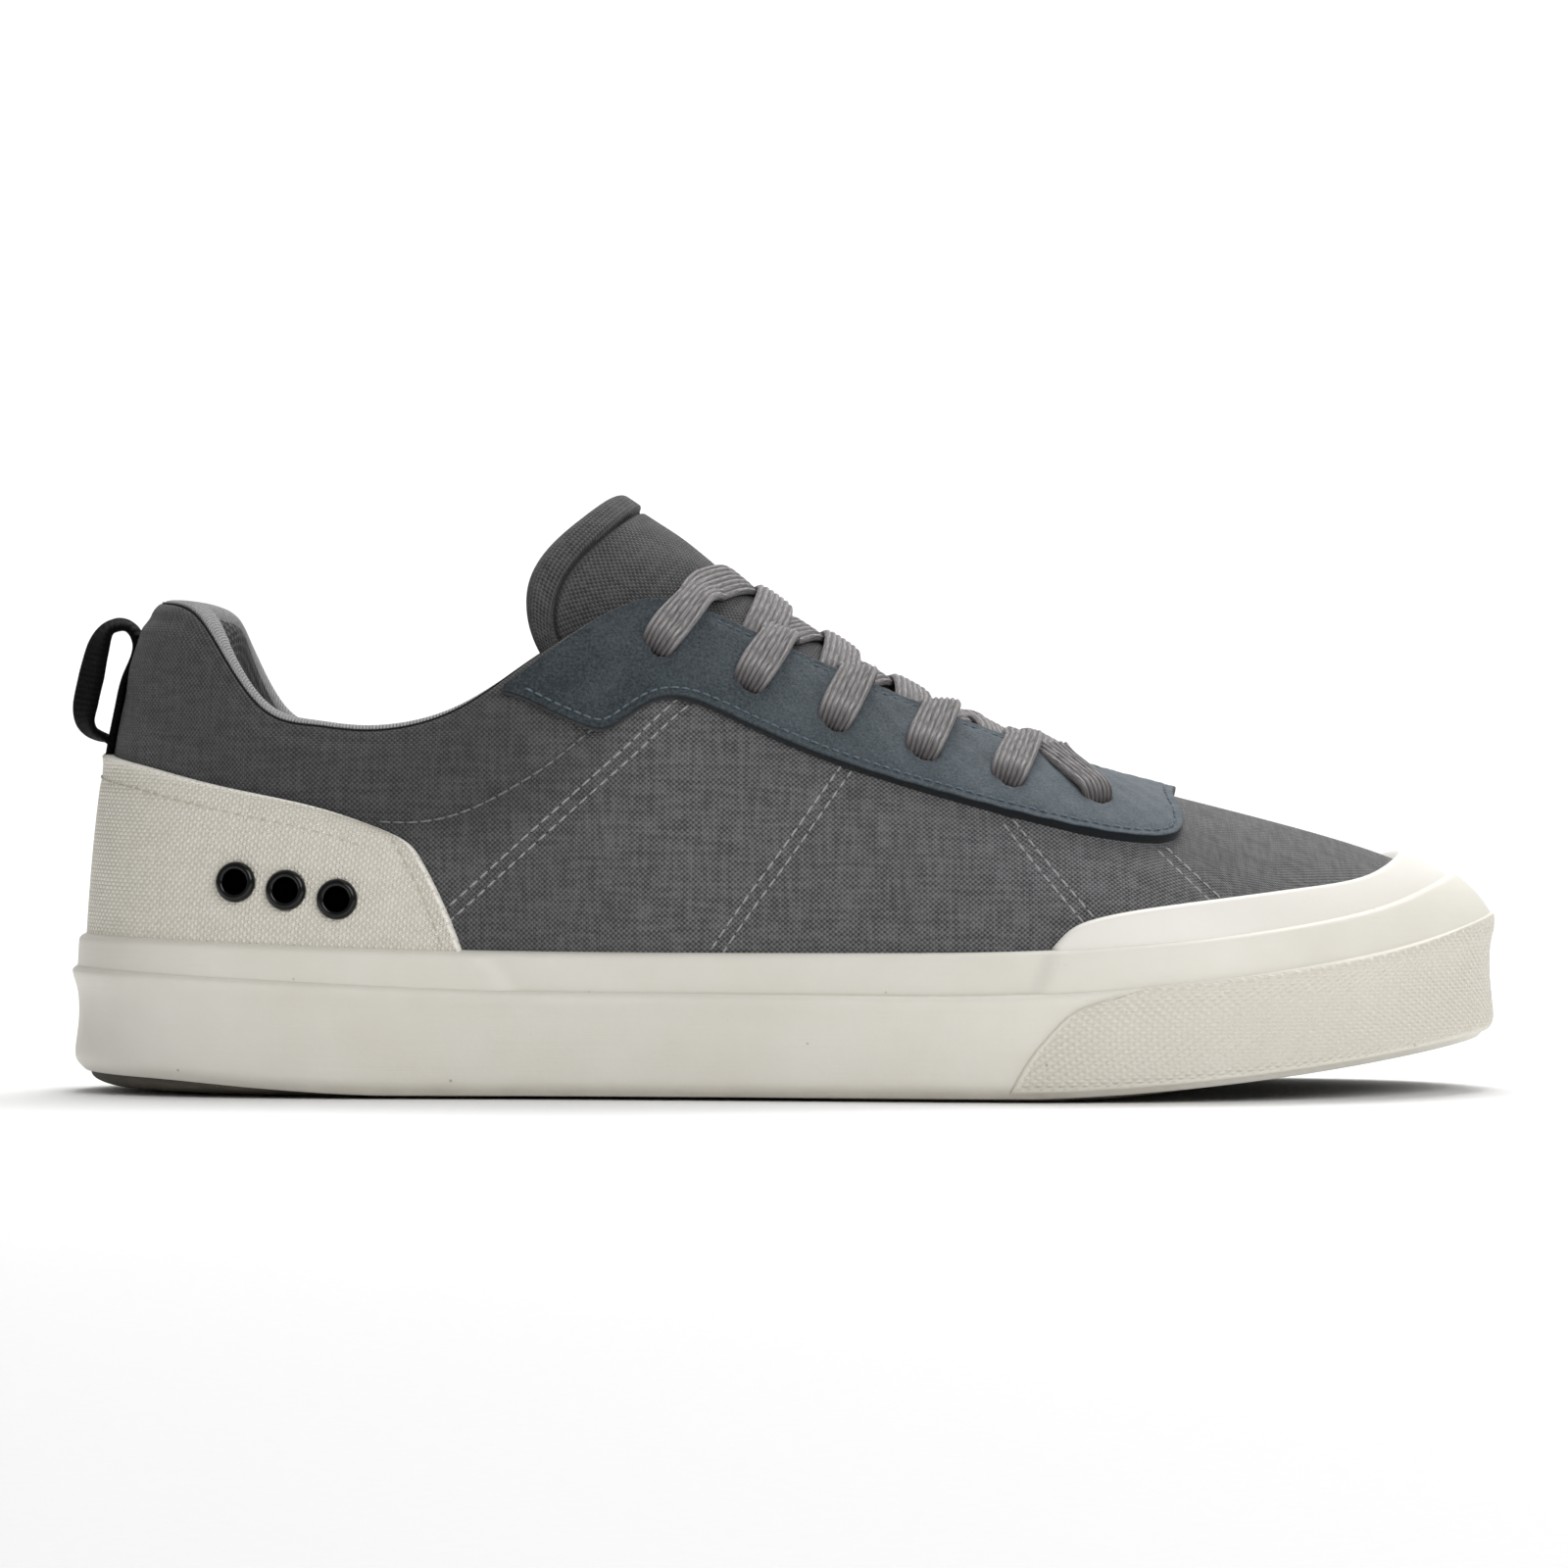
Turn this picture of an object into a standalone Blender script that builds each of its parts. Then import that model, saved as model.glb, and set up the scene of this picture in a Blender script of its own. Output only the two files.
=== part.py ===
"""Low canvas skate sneaker for the right foot, made of its maker's separate pieces.

Sizes are in millimetres, and each mesh is scaled to metres as it is made. +X runs to the toe, +Y to
the inner side of the foot and +Z up. The floor is z = 0, and the origin lies midway along the sole
and midway across it.

A place on the shoe is given by ring and climb. Ring runs once round the foot, from the heel back
(0) along the outer side to the toe tip (0.5) and home along the inner side. Climb runs up the wall
of the upper, from the sole (0) to the edge of the collar and throat (1).
"""
import math
from collections import namedtuple

import bmesh
import bpy
import numpy as np
from mathutils import Matrix, Vector

METRES = 0.001

# Joints between pieces
GAP = 0.3
OVERLAY_GAP = 0.4

# Sole
SOLE_BLOCK = 14.0
BAND_THICKNESS = 3.2
BAND_FLOOR_GAP = 0.8
STRIP_THICKNESS = 2.4
BUMPER_THICKNESS = 1.0
TOE_SPRING_START = 48.0
TOE_SPRING_HEIGHT = 10.5
TOE_SPRING_POWER = 1.5
TOE_SPRING_END = 147.5
HEEL_BEVEL_START = -108.0
HEEL_BEVEL_HEIGHT = 1.2
HEEL_BEVEL_END = -149.0
ARCH_HEIGHT = 1.0
ARCH_CENTRE = -28.0
ARCH_HALF_LENGTH = 46.0
GROOVE_WIDTH = 2.4
GROOVE_DEPTH = 1.6
GROOVE_PITCH = 11.0
GROOVE_MARGIN = 13.0
FOREFOOT_GROOVES_START = 30.0
FOREFOOT_GROOVES = 8
HEEL_GROOVES_START = -124.0
HEEL_GROOVES = 5

# Upper
WALL = 2.0
PAD_START = 0.45
PAD_FULL = 0.92
OVERLAY_THICKNESS = 1.4
CAP_THICKNESS = 1.7
EDGE_MARGIN = 0.5
THROAT_SHIFT = 1.5
THROAT_SHIFT_SPAN = (-30.0, 67.0)
INSOLE_THICKNESS = 4.0
INSOLE_INSET = 3.2
INSOLE_CUP = 2.0

# Lacing
LACE_WIDTH = 8.0
LACE_THICKNESS = 1.8
LACE_CLEARANCE = 0.7
LACE_FUSE = 0.7
LACE_EDGE_LEAD = 0.008
LACE_FAR_LEAD = 0.005
LACE_FAR_RISE = 1.2
LACE_HOLE_RADIUS = 2.6
LACE_HOLE_LENGTH = 12.0
EYELET_DEPTH = 9.5
EYELET_SHARES = (0.787, 0.727, 0.647, 0.567, 0.499, 0.440)

# Heel fittings
VENT_BARREL_RADIUS = 3.1
VENT_HOLE_LENGTH = 16.0
VENT_RING_END = 0.2
VENT_PLACES = ((-111.7, 43.9), (-101.6, 42.3), (-91.4, 40.5))
LOOP_WIDTH = 10.0
LOOP_THICKNESS = 1.7

# Mesh fineness
STATIONS_A_SIDE = 28
STATION_CROWDING = 0.4
PLATE_COLUMNS = 5
OUTER_ROWS = 10
INNER_ROWS = 7
RIM_TURNS = (55.0, 125.0)
STRIP_ROWS = 4
CAP_ROWS = 5
CAP_STATIONS = 16
COUNTER_ROWS = 6
COUNTER_STATIONS = 29
BUMPER_STATIONS = 37
STAY_ROWS = 4
TONGUE_COLUMNS = 11
TONGUE_STATIONS = 13
LACE_STATIONS = 10
LOOP_STATIONS = 26
LOOP_INNER_POINTS = 4
HOLE_SIDES = 8
VENT_STEPS = 12
SEARCH_STEPS = 400
TRIAL_STEPS = 161
SMOOTH_ANGLE = 40.0
MERGE_DISTANCE = 0.00001
TINY = 1e-4

OutlineRow = namedtuple("OutlineRow", "place along across")
OUTLINE = [
    OutlineRow("heel back", -149.0, 0.0),
    OutlineRow("outer heel corner", -138.5, -24.0),
    OutlineRow("outer heel side", -112.0, -36.5),
    OutlineRow("outer waist back", -70.0, -40.0),
    OutlineRow("outer waist", -25.0, -44.0),
    OutlineRow("outer ball back", 20.0, -50.5),
    OutlineRow("outer ball", 60.0, -54.2),
    OutlineRow("outer toe side", 99.0, -47.5),
    OutlineRow("outer toe corner", 130.5, -26.5),
    OutlineRow("toe tip", 147.7, 7.0),
    OutlineRow("inner toe corner", 135.5, 37.5),
    OutlineRow("inner toe side", 107.0, 51.5),
    OutlineRow("inner ball", 70.0, 54.2),
    OutlineRow("inner ball back", 30.0, 47.5),
    OutlineRow("inner waist", -18.0, 38.5),
    OutlineRow("inner waist back", -65.0, 36.0),
    OutlineRow("inner heel side", -112.0, 35.5),
    OutlineRow("inner heel corner", -138.5, 24.0),
]
TOE_TIP_ROW = 9

# Sections of the upper from the heel back (share 0) to the toe (share 1). The edge point is the top
# of the outer face. Lean is the wall's inward tilt at the sole in degrees. Rise and reach are the
# lengths of the curve's handles at the sole and the edge, slope is the fall of the wall outwards
# from the edge in degrees, and pad is the foam behind the edge.
Section = namedtuple(
    "Section", "place share along across height lean rise reach slope pad inner_lift")
SECTIONS = [
    Section("heel back", 0.000, -134.8, 0.0, 99.0, 2.0, 58.0, 12.0, 70.0, 8.0, 0.0),
    Section("heel tab", 0.045, -131.6, -11.5, 97.8, 2.0, 56.0, 12.0, 72.0, 7.6, 1.0),
    Section("tab side", 0.080, -124.5, -19.0, 92.6, 2.5, 52.0, 12.0, 74.0, 7.0, 3.0),
    Section("collar fall", 0.115, -117.0, -24.2, 84.4, 3.0, 47.0, 12.0, 75.0, 6.4, 3.5),
    Section("collar back", 0.155, -108.0, -27.8, 77.0, 3.0, 42.0, 13.0, 76.0, 5.8, 2.0),
    Section("collar dip back", 0.200, -97.0, -30.0, 73.4, 3.0, 40.0, 14.0, 76.0, 5.2, 0.5),
    Section("collar dip", 0.250, -83.5, -31.0, 72.2, 3.0, 40.0, 15.0, 76.0, 5.0, 0.0),
    Section("collar front", 0.292, -69.5, -31.5, 74.4, 3.0, 40.0, 16.0, 74.0, 4.6, 0.0),
    Section("facing back", 0.330, -57.5, -31.0, 81.6, 3.0, 42.0, 18.0, 71.0, 3.0, 0.0),
    Section("facing rise", 0.365, -47.0, -29.0, 90.2, 3.0, 44.0, 21.0, 66.0, 1.2, 0.0),
    Section("facing shoulder", 0.400, -36.5, -26.2, 98.0, 3.0, 46.0, 24.0, 60.0, 0.3, 0.0),
    Section("facing peak", 0.430, -28.0, -23.8, 101.4, 3.0, 46.0, 25.0, 57.0, 0.0, 0.0),
    Section("throat top", 0.460, -19.5, -22.3, 99.8, 3.0, 46.0, 25.0, 55.0, 0.0, 0.0),
    Section("instep", 0.505, -7.0, -21.4, 94.2, 3.0, 44.0, 24.0, 52.0, 0.0, 0.0),
    Section("throat middle", 0.620, 22.0, -19.6, 81.4, 3.0, 38.0, 22.0, 45.0, 0.0, 0.0),
    Section("throat front", 0.740, 47.0, -16.6, 71.6, 2.0, 29.0, 26.0, 33.0, 0.0, 0.0),
    Section("throat corner", 0.840, 60.5, -12.0, 66.9, 1.0, 23.0, 42.0, 23.0, 0.0, 0.0),
    Section("vamp corner", 0.930, 66.0, -5.6, 65.3, 0.0, 22.0, 62.0, 16.5, 0.0, 0.0),
    Section("vamp centre", 1.000, 67.2, 0.0, 64.9, 0.0, 22.0, 72.0, 14.0, 0.0, 0.0),
]

SHAPE_COLUMNS = Section._fields[2:]
WALL_COLUMNS = SHAPE_COLUMNS.index("pad")

# Heights of the two lines along the sole's side
SideRow = namedtuple("SideRow", "along ridge strip_top")
SIDE_LINES = [
    SideRow(-150.0, 26.4, 33.2),
    SideRow(-109.0, 24.4, 31.7),
    SideRow(-65.0, 22.4, 30.3),
    SideRow(0.0, 21.6, 29.9),
    SideRow(56.0, 22.2, 30.6),
    SideRow(90.0, 25.2, 32.8),
    SideRow(111.0, 28.1, 35.2),
    SideRow(130.0, 32.0, 38.6),
    SideRow(142.0, 35.6, 41.9),
    SideRow(149.0, 37.8, 43.8),
]

# Side of the foxing band: share of its height, and how far the face stands out
BandRow = namedtuple("BandRow", "share out")
BAND_SIDE = [
    BandRow(0.00, -2.3),
    BandRow(0.07, -0.8),
    BandRow(0.22, -0.2),
    BandRow(0.45, -0.8),
    BandRow(0.62, -0.9),
    BandRow(0.82, -0.2),
    BandRow(0.94, 0.0),
    BandRow(1.00, -0.7),
]

# Top line of the toe cap above the strip, by share from heel to toe
CapRow = namedtuple("CapRow", "share rise")
TOE_CAP = [
    CapRow(0.650, 0.5),
    CapRow(0.660, 3.4),
    CapRow(0.680, 6.0),
    CapRow(0.718, 7.4),
    CapRow(0.775, 7.9),
    CapRow(0.840, 7.2),
    CapRow(0.900, 5.3),
    CapRow(0.950, 4.1),
    CapRow(1.000, 3.7),
]

# Toe bumper: where its slanted back edge stands, by share of the band's height
BumperRow = namedtuple("BumperRow", "height_share start")
TOE_BUMPER = [
    BumperRow(0.00, 0.618),
    BumperRow(0.45, 0.634),
    BumperRow(0.70, 0.648),
    BumperRow(0.88, 0.668),
    BumperRow(1.00, 0.700),
]

# Heel counter: its front edge, by share of its height, and its top line, by share of its length
CounterFront = namedtuple("CounterFront", "height_share end")
COUNTER_FRONT = [
    CounterFront(0.00, 0.2990),
    CounterFront(0.30, 0.2905),
    CounterFront(0.60, 0.2800),
    CounterFront(0.80, 0.2715),
    CounterFront(0.92, 0.2620),
    CounterFront(1.00, 0.2480),
]
CounterTop = namedtuple("CounterTop", "length_share height")
COUNTER_TOP = [
    CounterTop(0.0, 70.6),
    CounterTop(0.3, 67.6),
    CounterTop(0.6, 62.8),
    CounterTop(0.9, 57.8),
    CounterTop(1.0, 55.0),
]

# Eyestay: how far its lower line lies below the throat edge, by share from heel to toe
StayRow = namedtuple("StayRow", "share drop")
EYESTAY = [
    StayRow(0.328, 1.8),
    StayRow(0.343, 3.8),
    StayRow(0.358, 9.0),
    StayRow(0.375, 15.4),
    StayRow(0.393, 20.2),
    StayRow(0.410, 20.6),
    StayRow(0.430, 19.6),
    StayRow(0.450, 20.0),
    StayRow(0.475, 21.6),
    StayRow(0.520, 22.4),
    StayRow(0.620, 21.2),
    StayRow(0.690, 20.4),
    StayRow(0.740, 19.4),
    StayRow(0.785, 16.8),
    StayRow(0.815, 13.4),
    StayRow(0.850, 8.8),
    StayRow(0.890, 5.4),
    StayRow(0.945, 3.4),
    StayRow(1.000, 3.0),
]

# Stretches of the eyestay with stations of their own: first share, last share, and how many
EYESTAY_BACK = (0.328, 0.480, 12)
EYESTAY_CORNER = (0.740, 0.920, 9)

# Tongue, from its front under the vamp to its free top. Each section is part of an ellipse with its
# half width across and its depth along the section, and wrap is how far round it the edges reach.
# Tilt is the climb of the axis backwards. Angles are in degrees.
TongueRow = namedtuple("TongueRow", "place along height tilt half_width depth wrap thickness")
TONGUE = [
    TongueRow("front", 64.0, 61.2, 26.0, 30.0, 15.0, 28.0, 2.5),
    TongueRow("throat front", 55.0, 65.8, 26.0, 30.0, 17.0, 41.0, 3.0),
    TongueRow("second eyelet", 38.0, 74.8, 26.0, 30.0, 20.0, 57.0, 4.0),
    TongueRow("third eyelet", 21.5, 83.6, 28.5, 29.5, 24.5, 67.0, 5.0),
    TongueRow("fourth eyelet", 7.0, 92.4, 32.0, 29.0, 29.0, 75.0, 5.5),
    TongueRow("fifth eyelet", -7.0, 101.5, 36.0, 27.0, 33.0, 81.0, 6.0),
    TongueRow("neck", -20.5, 112.6, 39.0, 25.0, 35.5, 86.0, 6.0),
    TongueRow("top", -35.5, 124.4, 40.0, 24.0, 35.5, 90.0, 5.5),
]
TONGUE_CORNER_START = 0.78
TONGUE_CORNER_RECESS = 0.075
TONGUE_EDGE_THINNING = 0.5

# Crest of each lace crossing, from the toe upwards: the middle of its upper strand, and how much
# higher than its clearance a strand rides over the throat edge. Tilt, in degrees, is the tongue's.
CrestRow = namedtuple("CrestRow", "along height edge_rise tilt")
LACE_CRESTS = [
    CrestRow(55.0, 74.3, 2.7, 26.0),
    CrestRow(38.0, 80.8, 2.2, 26.0),
    CrestRow(21.5, 88.8, 2.2, 28.5),
    CrestRow(7.0, 97.5, 2.1, 32.0),
    CrestRow(-7.0, 107.0, 2.1, 37.0),
]
LACE_TAIL_ALONG = 1.0
LACE_TAIL_ACROSS = 8.5
LACE_TAIL_FALL = 2.6

# Half section of a vent eyelet: its radius, and how far out of the counter's face it lies
VentRow = namedtuple("VentRow", "place radius out")
VENT_EYELET = [
    VentRow("bore lip", 2.5, 1.28),
    VentRow("inner crown", 3.1, 1.8),
    VentRow("outer crown", 3.7, 1.67),
    VentRow("flange edge", 4.2, 0.8),
    VentRow("flange foot", 4.0, 0.5),
    VentRow("barrel top", 3.1, 0.5),
    VentRow("barrel end", 3.1, -3.0),
    VentRow("bore end", 2.5, -3.0),
]

# Pull loop seen from the side: from its outer foot over the crown to the heel
LoopRow = namedtuple("LoopRow", "place along height")
PULL_LOOP = [
    LoopRow("outer foot", -145.6, 73.8),
    LoopRow("belly", -147.9, 77.4),
    LoopRow("outer leg", -147.6, 85.0),
    LoopRow("shoulder", -146.0, 92.5),
    LoopRow("crown", -140.8, 97.5),
]
LOOP_INNER_TOP = 94.5
LOOP_INNER_FOOT = 73.6

Finish = namedtuple("Finish", "colour roughness")
CANVAS = Finish("565658", 0.9)
SUEDE = Finish("495156", 0.95)
LACE = Finish("787778", 0.9)
RUBBER = Finish("d4d1c8", 0.55)
COUNTER = Finish("c6c2b7", 0.7)
WEBBING = Finish("181818", 0.8)
ENAMEL = Finish("0a0a0a", 0.3)
FOAM = Finish("a4a4a4", 0.95)


def column(table, name):
    """One named column of a table, as an array."""
    return np.array([getattr(row, name) for row in table], float)


def spline(knots, values):
    """A natural cubic spline through table rows, as a function of the knot."""
    knots = np.asarray(knots, float)
    values = np.asarray(values, float)
    steps = np.diff(knots)
    count = len(knots)
    system = np.eye(count)
    load = np.zeros_like(values)
    for i in range(1, count - 1):
        system[i, i - 1:i + 2] = steps[i - 1], 2 * (steps[i - 1] + steps[i]), steps[i]
        after = (values[i + 1] - values[i]) / steps[i]
        before = (values[i] - values[i - 1]) / steps[i - 1]
        load[i] = 6 * (after - before)
    bend = np.linalg.solve(system, load)

    def at(place):
        place = np.asarray(place, float)
        i = np.clip(np.searchsorted(knots, place, side="right") - 1, 0, count - 2)
        step = steps[i]
        left = (knots[i + 1] - place) / step
        right = (place - knots[i]) / step
        if values.ndim > 1:
            left = left[..., None]
            right = right[..., None]
            step = step[..., None]
        sag = (left ** 3 - left) * bend[i] + (right ** 3 - right) * bend[i + 1]
        return left * values[i] + right * values[i + 1] + sag * step ** 2 / 6

    return at


def closed_spline(knots, values, wrap=4):
    """A spline round the ring, where the rows repeat every whole turn."""
    knots = np.asarray(knots, float)
    values = np.asarray(values, float)
    turns = np.concatenate([knots[-wrap:] - 1, knots, knots[:wrap] + 1])
    rows = np.concatenate([values[-wrap:], values, values[:wrap]])
    curve = spline(turns, rows)
    return lambda ring: curve(np.mod(ring, 1.0))


def table_curve(table, knot, name):
    """A column of an open table as a smooth function of its knot column."""
    return spline(column(table, knot), column(table, name))


def outline_curve():
    """The foxing band's outline as a function of ring, with the toe tip at one half."""
    points = np.column_stack([column(OUTLINE, "along"), column(OUTLINE, "across")])
    steps = np.linalg.norm(np.roll(points, -1, axis=0) - points, axis=1)
    run = np.concatenate([[0.0], np.cumsum(steps)])
    outer = run[TOE_TIP_ROW]
    inner = run[-1] - outer
    knots = np.where(run <= outer, run / outer, 1 + (run - outer) / inner) / 2
    return closed_spline(knots[:-1], points)


def mirrored_sections():
    """The upper's section columns as one function of ring, the inner side mirrored."""
    outer = np.column_stack([column(SECTIONS, name) for name in SHAPE_COLUMNS])
    inner = outer[-2:0:-1].copy()
    inner[:, SHAPE_COLUMNS.index("across")] *= -1
    inner[:, SHAPE_COLUMNS.index("height")] += inner[:, SHAPE_COLUMNS.index("inner_lift")]
    shares = column(SECTIONS, "share")
    knots = np.concatenate([shares / 2, 1 - shares[-2:0:-1] / 2])
    return closed_spline(knots, np.concatenate([outer, inner]))


outline = outline_curve()
sections = mirrored_sections()
ridge_height = table_curve(SIDE_LINES, "along", "ridge")
strip_height = table_curve(SIDE_LINES, "along", "strip_top")


def lift(along):
    """Height of the sole's underside over the floor: toe spring and heel bevel."""
    toe = np.clip((along - TOE_SPRING_START) / (TOE_SPRING_END - TOE_SPRING_START), 0, None)
    heel = np.clip((along - HEEL_BEVEL_START) / (HEEL_BEVEL_END - HEEL_BEVEL_START), 0, None)
    spring = TOE_SPRING_HEIGHT * toe ** TOE_SPRING_POWER
    return spring + HEEL_BEVEL_HEIGHT * heel ** TOE_SPRING_POWER


def arch(along):
    """How far the waist of the sole is hollowed."""
    reach = np.clip(np.abs(along - ARCH_CENTRE) / ARCH_HALF_LENGTH, 0, 1)
    return ARCH_HEIGHT * np.cos(reach * math.pi / 2) ** 2


def outline_out(ring):
    """The outline's outward direction in plan."""
    step = outline(ring + TINY) - outline(ring - TINY)
    out = np.stack([step[..., 1], -step[..., 0]], axis=-1)
    return out / np.linalg.norm(out, axis=-1, keepdims=True)


def outline_at(ring, out):
    """The outline moved outwards by a distance, or inwards where it is negative."""
    return outline(ring) + outline_out(ring) * np.asarray(out)[..., None]


def outline_width(along):
    """Where the outer and the inner side of the outline lie across the foot at a place along it."""
    sides = outline(np.linspace((0, 0.5), (0.5, 1), SEARCH_STEPS, axis=1))
    return [side[np.argmin(np.abs(side[:, 0] - along)), 1] for side in sides]


def upright(plan, height):
    """Plan points with a height each."""
    return np.concatenate([plan, np.broadcast_to(height, plan.shape[:-1])[..., None]], axis=-1)


def throat_centre(along):
    """How far the middle of the throat lies to the inner side."""
    start, end = THROAT_SHIFT_SPAN
    return THROAT_SHIFT * np.clip((along - start) / (end - start), 0, 1)


def wall(ring, climb):
    """A point on the outer face of the upper."""
    ring, climb = np.broadcast_arrays(np.asarray(ring, float), np.asarray(climb, float))
    columns = np.moveaxis(sections(ring), -1, 0)
    along, across, height, lean, rise, reach, slope = columns[:WALL_COLUMNS]
    edge = np.stack([along, across + throat_centre(along), height], axis=-1)
    inset = BAND_THICKNESS + OVERLAY_GAP
    foot_plan = outline_at(ring, np.full(ring.shape, -inset))
    foot = upright(foot_plan, SOLE_BLOCK + GAP + lift(foot_plan[..., 0]))
    away = foot - edge
    away[..., 2] = 0
    away /= np.linalg.norm(away, axis=-1, keepdims=True)
    up = np.array([0.0, 0.0, 1.0])
    tilt = np.radians(lean)[..., None]
    low = foot + rise[..., None] * (np.cos(tilt) * up - np.sin(tilt) * away)
    fall = np.radians(slope)[..., None]
    high = edge + reach[..., None] * (np.cos(fall) * away - np.sin(fall) * up)
    past = climb[..., None]
    left = 1 - past
    return left ** 3 * foot + 3 * left ** 2 * past * low + 3 * left * past ** 2 * high + past ** 3 * edge


def unit(vectors):
    """Vectors made one long."""
    return vectors / np.linalg.norm(vectors, axis=-1, keepdims=True)


def wall_up(ring, climb):
    """Direction up the wall."""
    return unit(wall(ring, climb + TINY) - wall(ring, climb - TINY))


def wall_out(ring, climb):
    """Direction straight out of the wall."""
    round_step = wall(ring + TINY, climb) - wall(ring - TINY, climb)
    return unit(np.cross(round_step, wall_up(ring, climb)))


def skin(ring, climb, out):
    """A point a distance off the outer face of the upper."""
    ring, climb = np.broadcast_arrays(np.asarray(ring, float), np.asarray(climb, float))
    return wall(ring, climb) + wall_out(ring, climb) * np.asarray(out)[..., None]


def climb_at_height(ring, height):
    """The climb where the wall reaches a height."""
    trial = np.linspace(0, 1, TRIAL_STEPS)
    return np.interp(height, wall(ring, trial)[:, 2], trial)


def climb_below_edge(ring, distance):
    """The climb at a distance down the wall from its edge."""
    trial = np.linspace(0, 1, TRIAL_STEPS)
    path = wall(ring, trial)
    run = np.concatenate([[0], np.cumsum(np.linalg.norm(np.diff(path, axis=0), axis=1))])
    return np.interp(run[-1] - distance, run, trial)


def pad_depth(ring, climb):
    """Thickness of the upper: its cloth, and the collar's foam near the edge."""
    pad = np.maximum(sections(ring)[..., WALL_COLUMNS], 0)
    share = np.clip((climb - PAD_START) / (PAD_FULL - PAD_START), 0, 1)
    return WALL + pad * share ** 2 * (3 - 2 * share)


def shares_between(start, end, count):
    """Station shares with both ends crowded."""
    even = np.linspace(0, 1, count + 1)
    eased = (1 - np.cos(math.pi * even)) / 2
    return start + (end - start) * ((1 - STATION_CROWDING) * even + STATION_CROWDING * eased)


def whole_ring():
    """Stations once round the foot, the same on both sides."""
    shares = shares_between(0, 1, STATIONS_A_SIDE)
    return np.concatenate([shares / 2, 1 - shares[-2:0:-1] / 2])


def toe_ring(start, count):
    """Stations from a share on the outer side round the toe to the same share inside."""
    shares = start + (1 - start) * np.linspace(0, 1, count + 1)
    return np.concatenate([shares / 2, 1 - shares[-2::-1] / 2])


def material(name, finish):
    """A plain material from an sRGB colour and a roughness."""
    found = bpy.data.materials.get(name)
    if found:
        return found
    made = bpy.data.materials.new(name)
    made.use_nodes = True
    shader = made.node_tree.nodes["Principled BSDF"]
    channels = [int(finish.colour[i:i + 2], 16) / 255 for i in (0, 2, 4)]
    linear = [c / 12.92 if c <= 0.04045 else ((c + 0.055) / 1.055) ** 2.4 for c in channels]
    shader.inputs["Base Color"].default_value = (*linear, 1)
    shader.inputs["Roughness"].default_value = finish.roughness
    shader.inputs["Metallic"].default_value = 0.0
    return made


def collection(name):
    """A collection in the scene, made once."""
    found = bpy.data.collections.get(name)
    if not found:
        found = bpy.data.collections.new(name)
        bpy.context.scene.collection.children.link(found)
    return found


def add_object(name, mesh, finish, place="sneaker"):
    """A named object with its own material."""
    mesh.materials.append(material(name, finish))
    made = bpy.data.objects.new(name, mesh)
    collection(place).objects.link(made)
    return made


def loft_mesh(name, loops, closed):
    """A closed body through loops of points, joined end to end or capped."""
    body = bmesh.new()
    rows = [[body.verts.new(Vector(point) * METRES) for point in loop] for loop in loops]
    pairs = list(zip(rows, rows[1:] + rows[:1])) if closed else list(zip(rows, rows[1:]))
    for row, after in pairs:
        size = len(row)
        for i in range(size):
            k = (i + 1) % size
            body.faces.new((row[i], row[k], after[k], after[i]))
    if not closed:
        body.faces.new(rows[0])
        body.faces.new(rows[-1])
    bmesh.ops.recalc_face_normals(body, faces=body.faces)
    mesh = bpy.data.meshes.new(name)
    body.to_mesh(mesh)
    body.free()
    return mesh


def loft(name, loops, finish, closed=False):
    """An object lofted through loops, shaded smooth with its edges kept."""
    made = add_object(name, loft_mesh(name, loops, closed), finish)
    made.data.shade_smooth()
    made.data.set_sharp_from_angle(angle=math.radians(SMOOTH_ANGLE))
    return made


def boolean(target, tool, operation):
    """Joins a tool object to a target, or cuts it away, and keeps the tool as a hidden guide."""
    change = target.modifiers.new(tool.name, "BOOLEAN")
    change.operation = operation
    change.object = tool
    tool.hide_render = True
    tool.display_type = "WIRE"


def drill(name, centre, axis, radius, length):
    """A round cutter with its middle at a point."""
    body = bmesh.new()
    bmesh.ops.create_cone(
        body, cap_ends=True, segments=HOLE_SIDES, radius1=radius * METRES, radius2=radius * METRES,
        depth=length * METRES)
    mesh = bpy.data.meshes.new(name)
    body.to_mesh(mesh)
    body.free()
    made = add_object(name, mesh, CANVAS, "cutters")
    turn = Vector((0, 0, 1)).rotation_difference(Vector(axis))
    made.matrix_world = Matrix.Translation(Vector(centre) * METRES) @ turn.to_matrix().to_4x4()
    return made


def sole_plate(name, inset, under, over, finish):
    """A plate inside the outline, lofted along the foot, from its lower and upper heights."""
    across_shares = np.linspace(0, 1, PLATE_COLUMNS)
    loops = []
    for share in shares_between(0, 1, STATIONS_A_SIDE)[1:-1]:
        outer, inner = outline_at(np.array([share / 2, 1 - share / 2]), np.full(2, -inset))
        plan = outer + across_shares[:, None] * (inner - outer)
        low = upright(plan, under(plan[:, 0], across_shares))
        high = upright(plan, over(plan[:, 0], across_shares))
        loops.append(np.concatenate([low, high[::-1]]))
    return loft(name, loops, finish)


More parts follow.
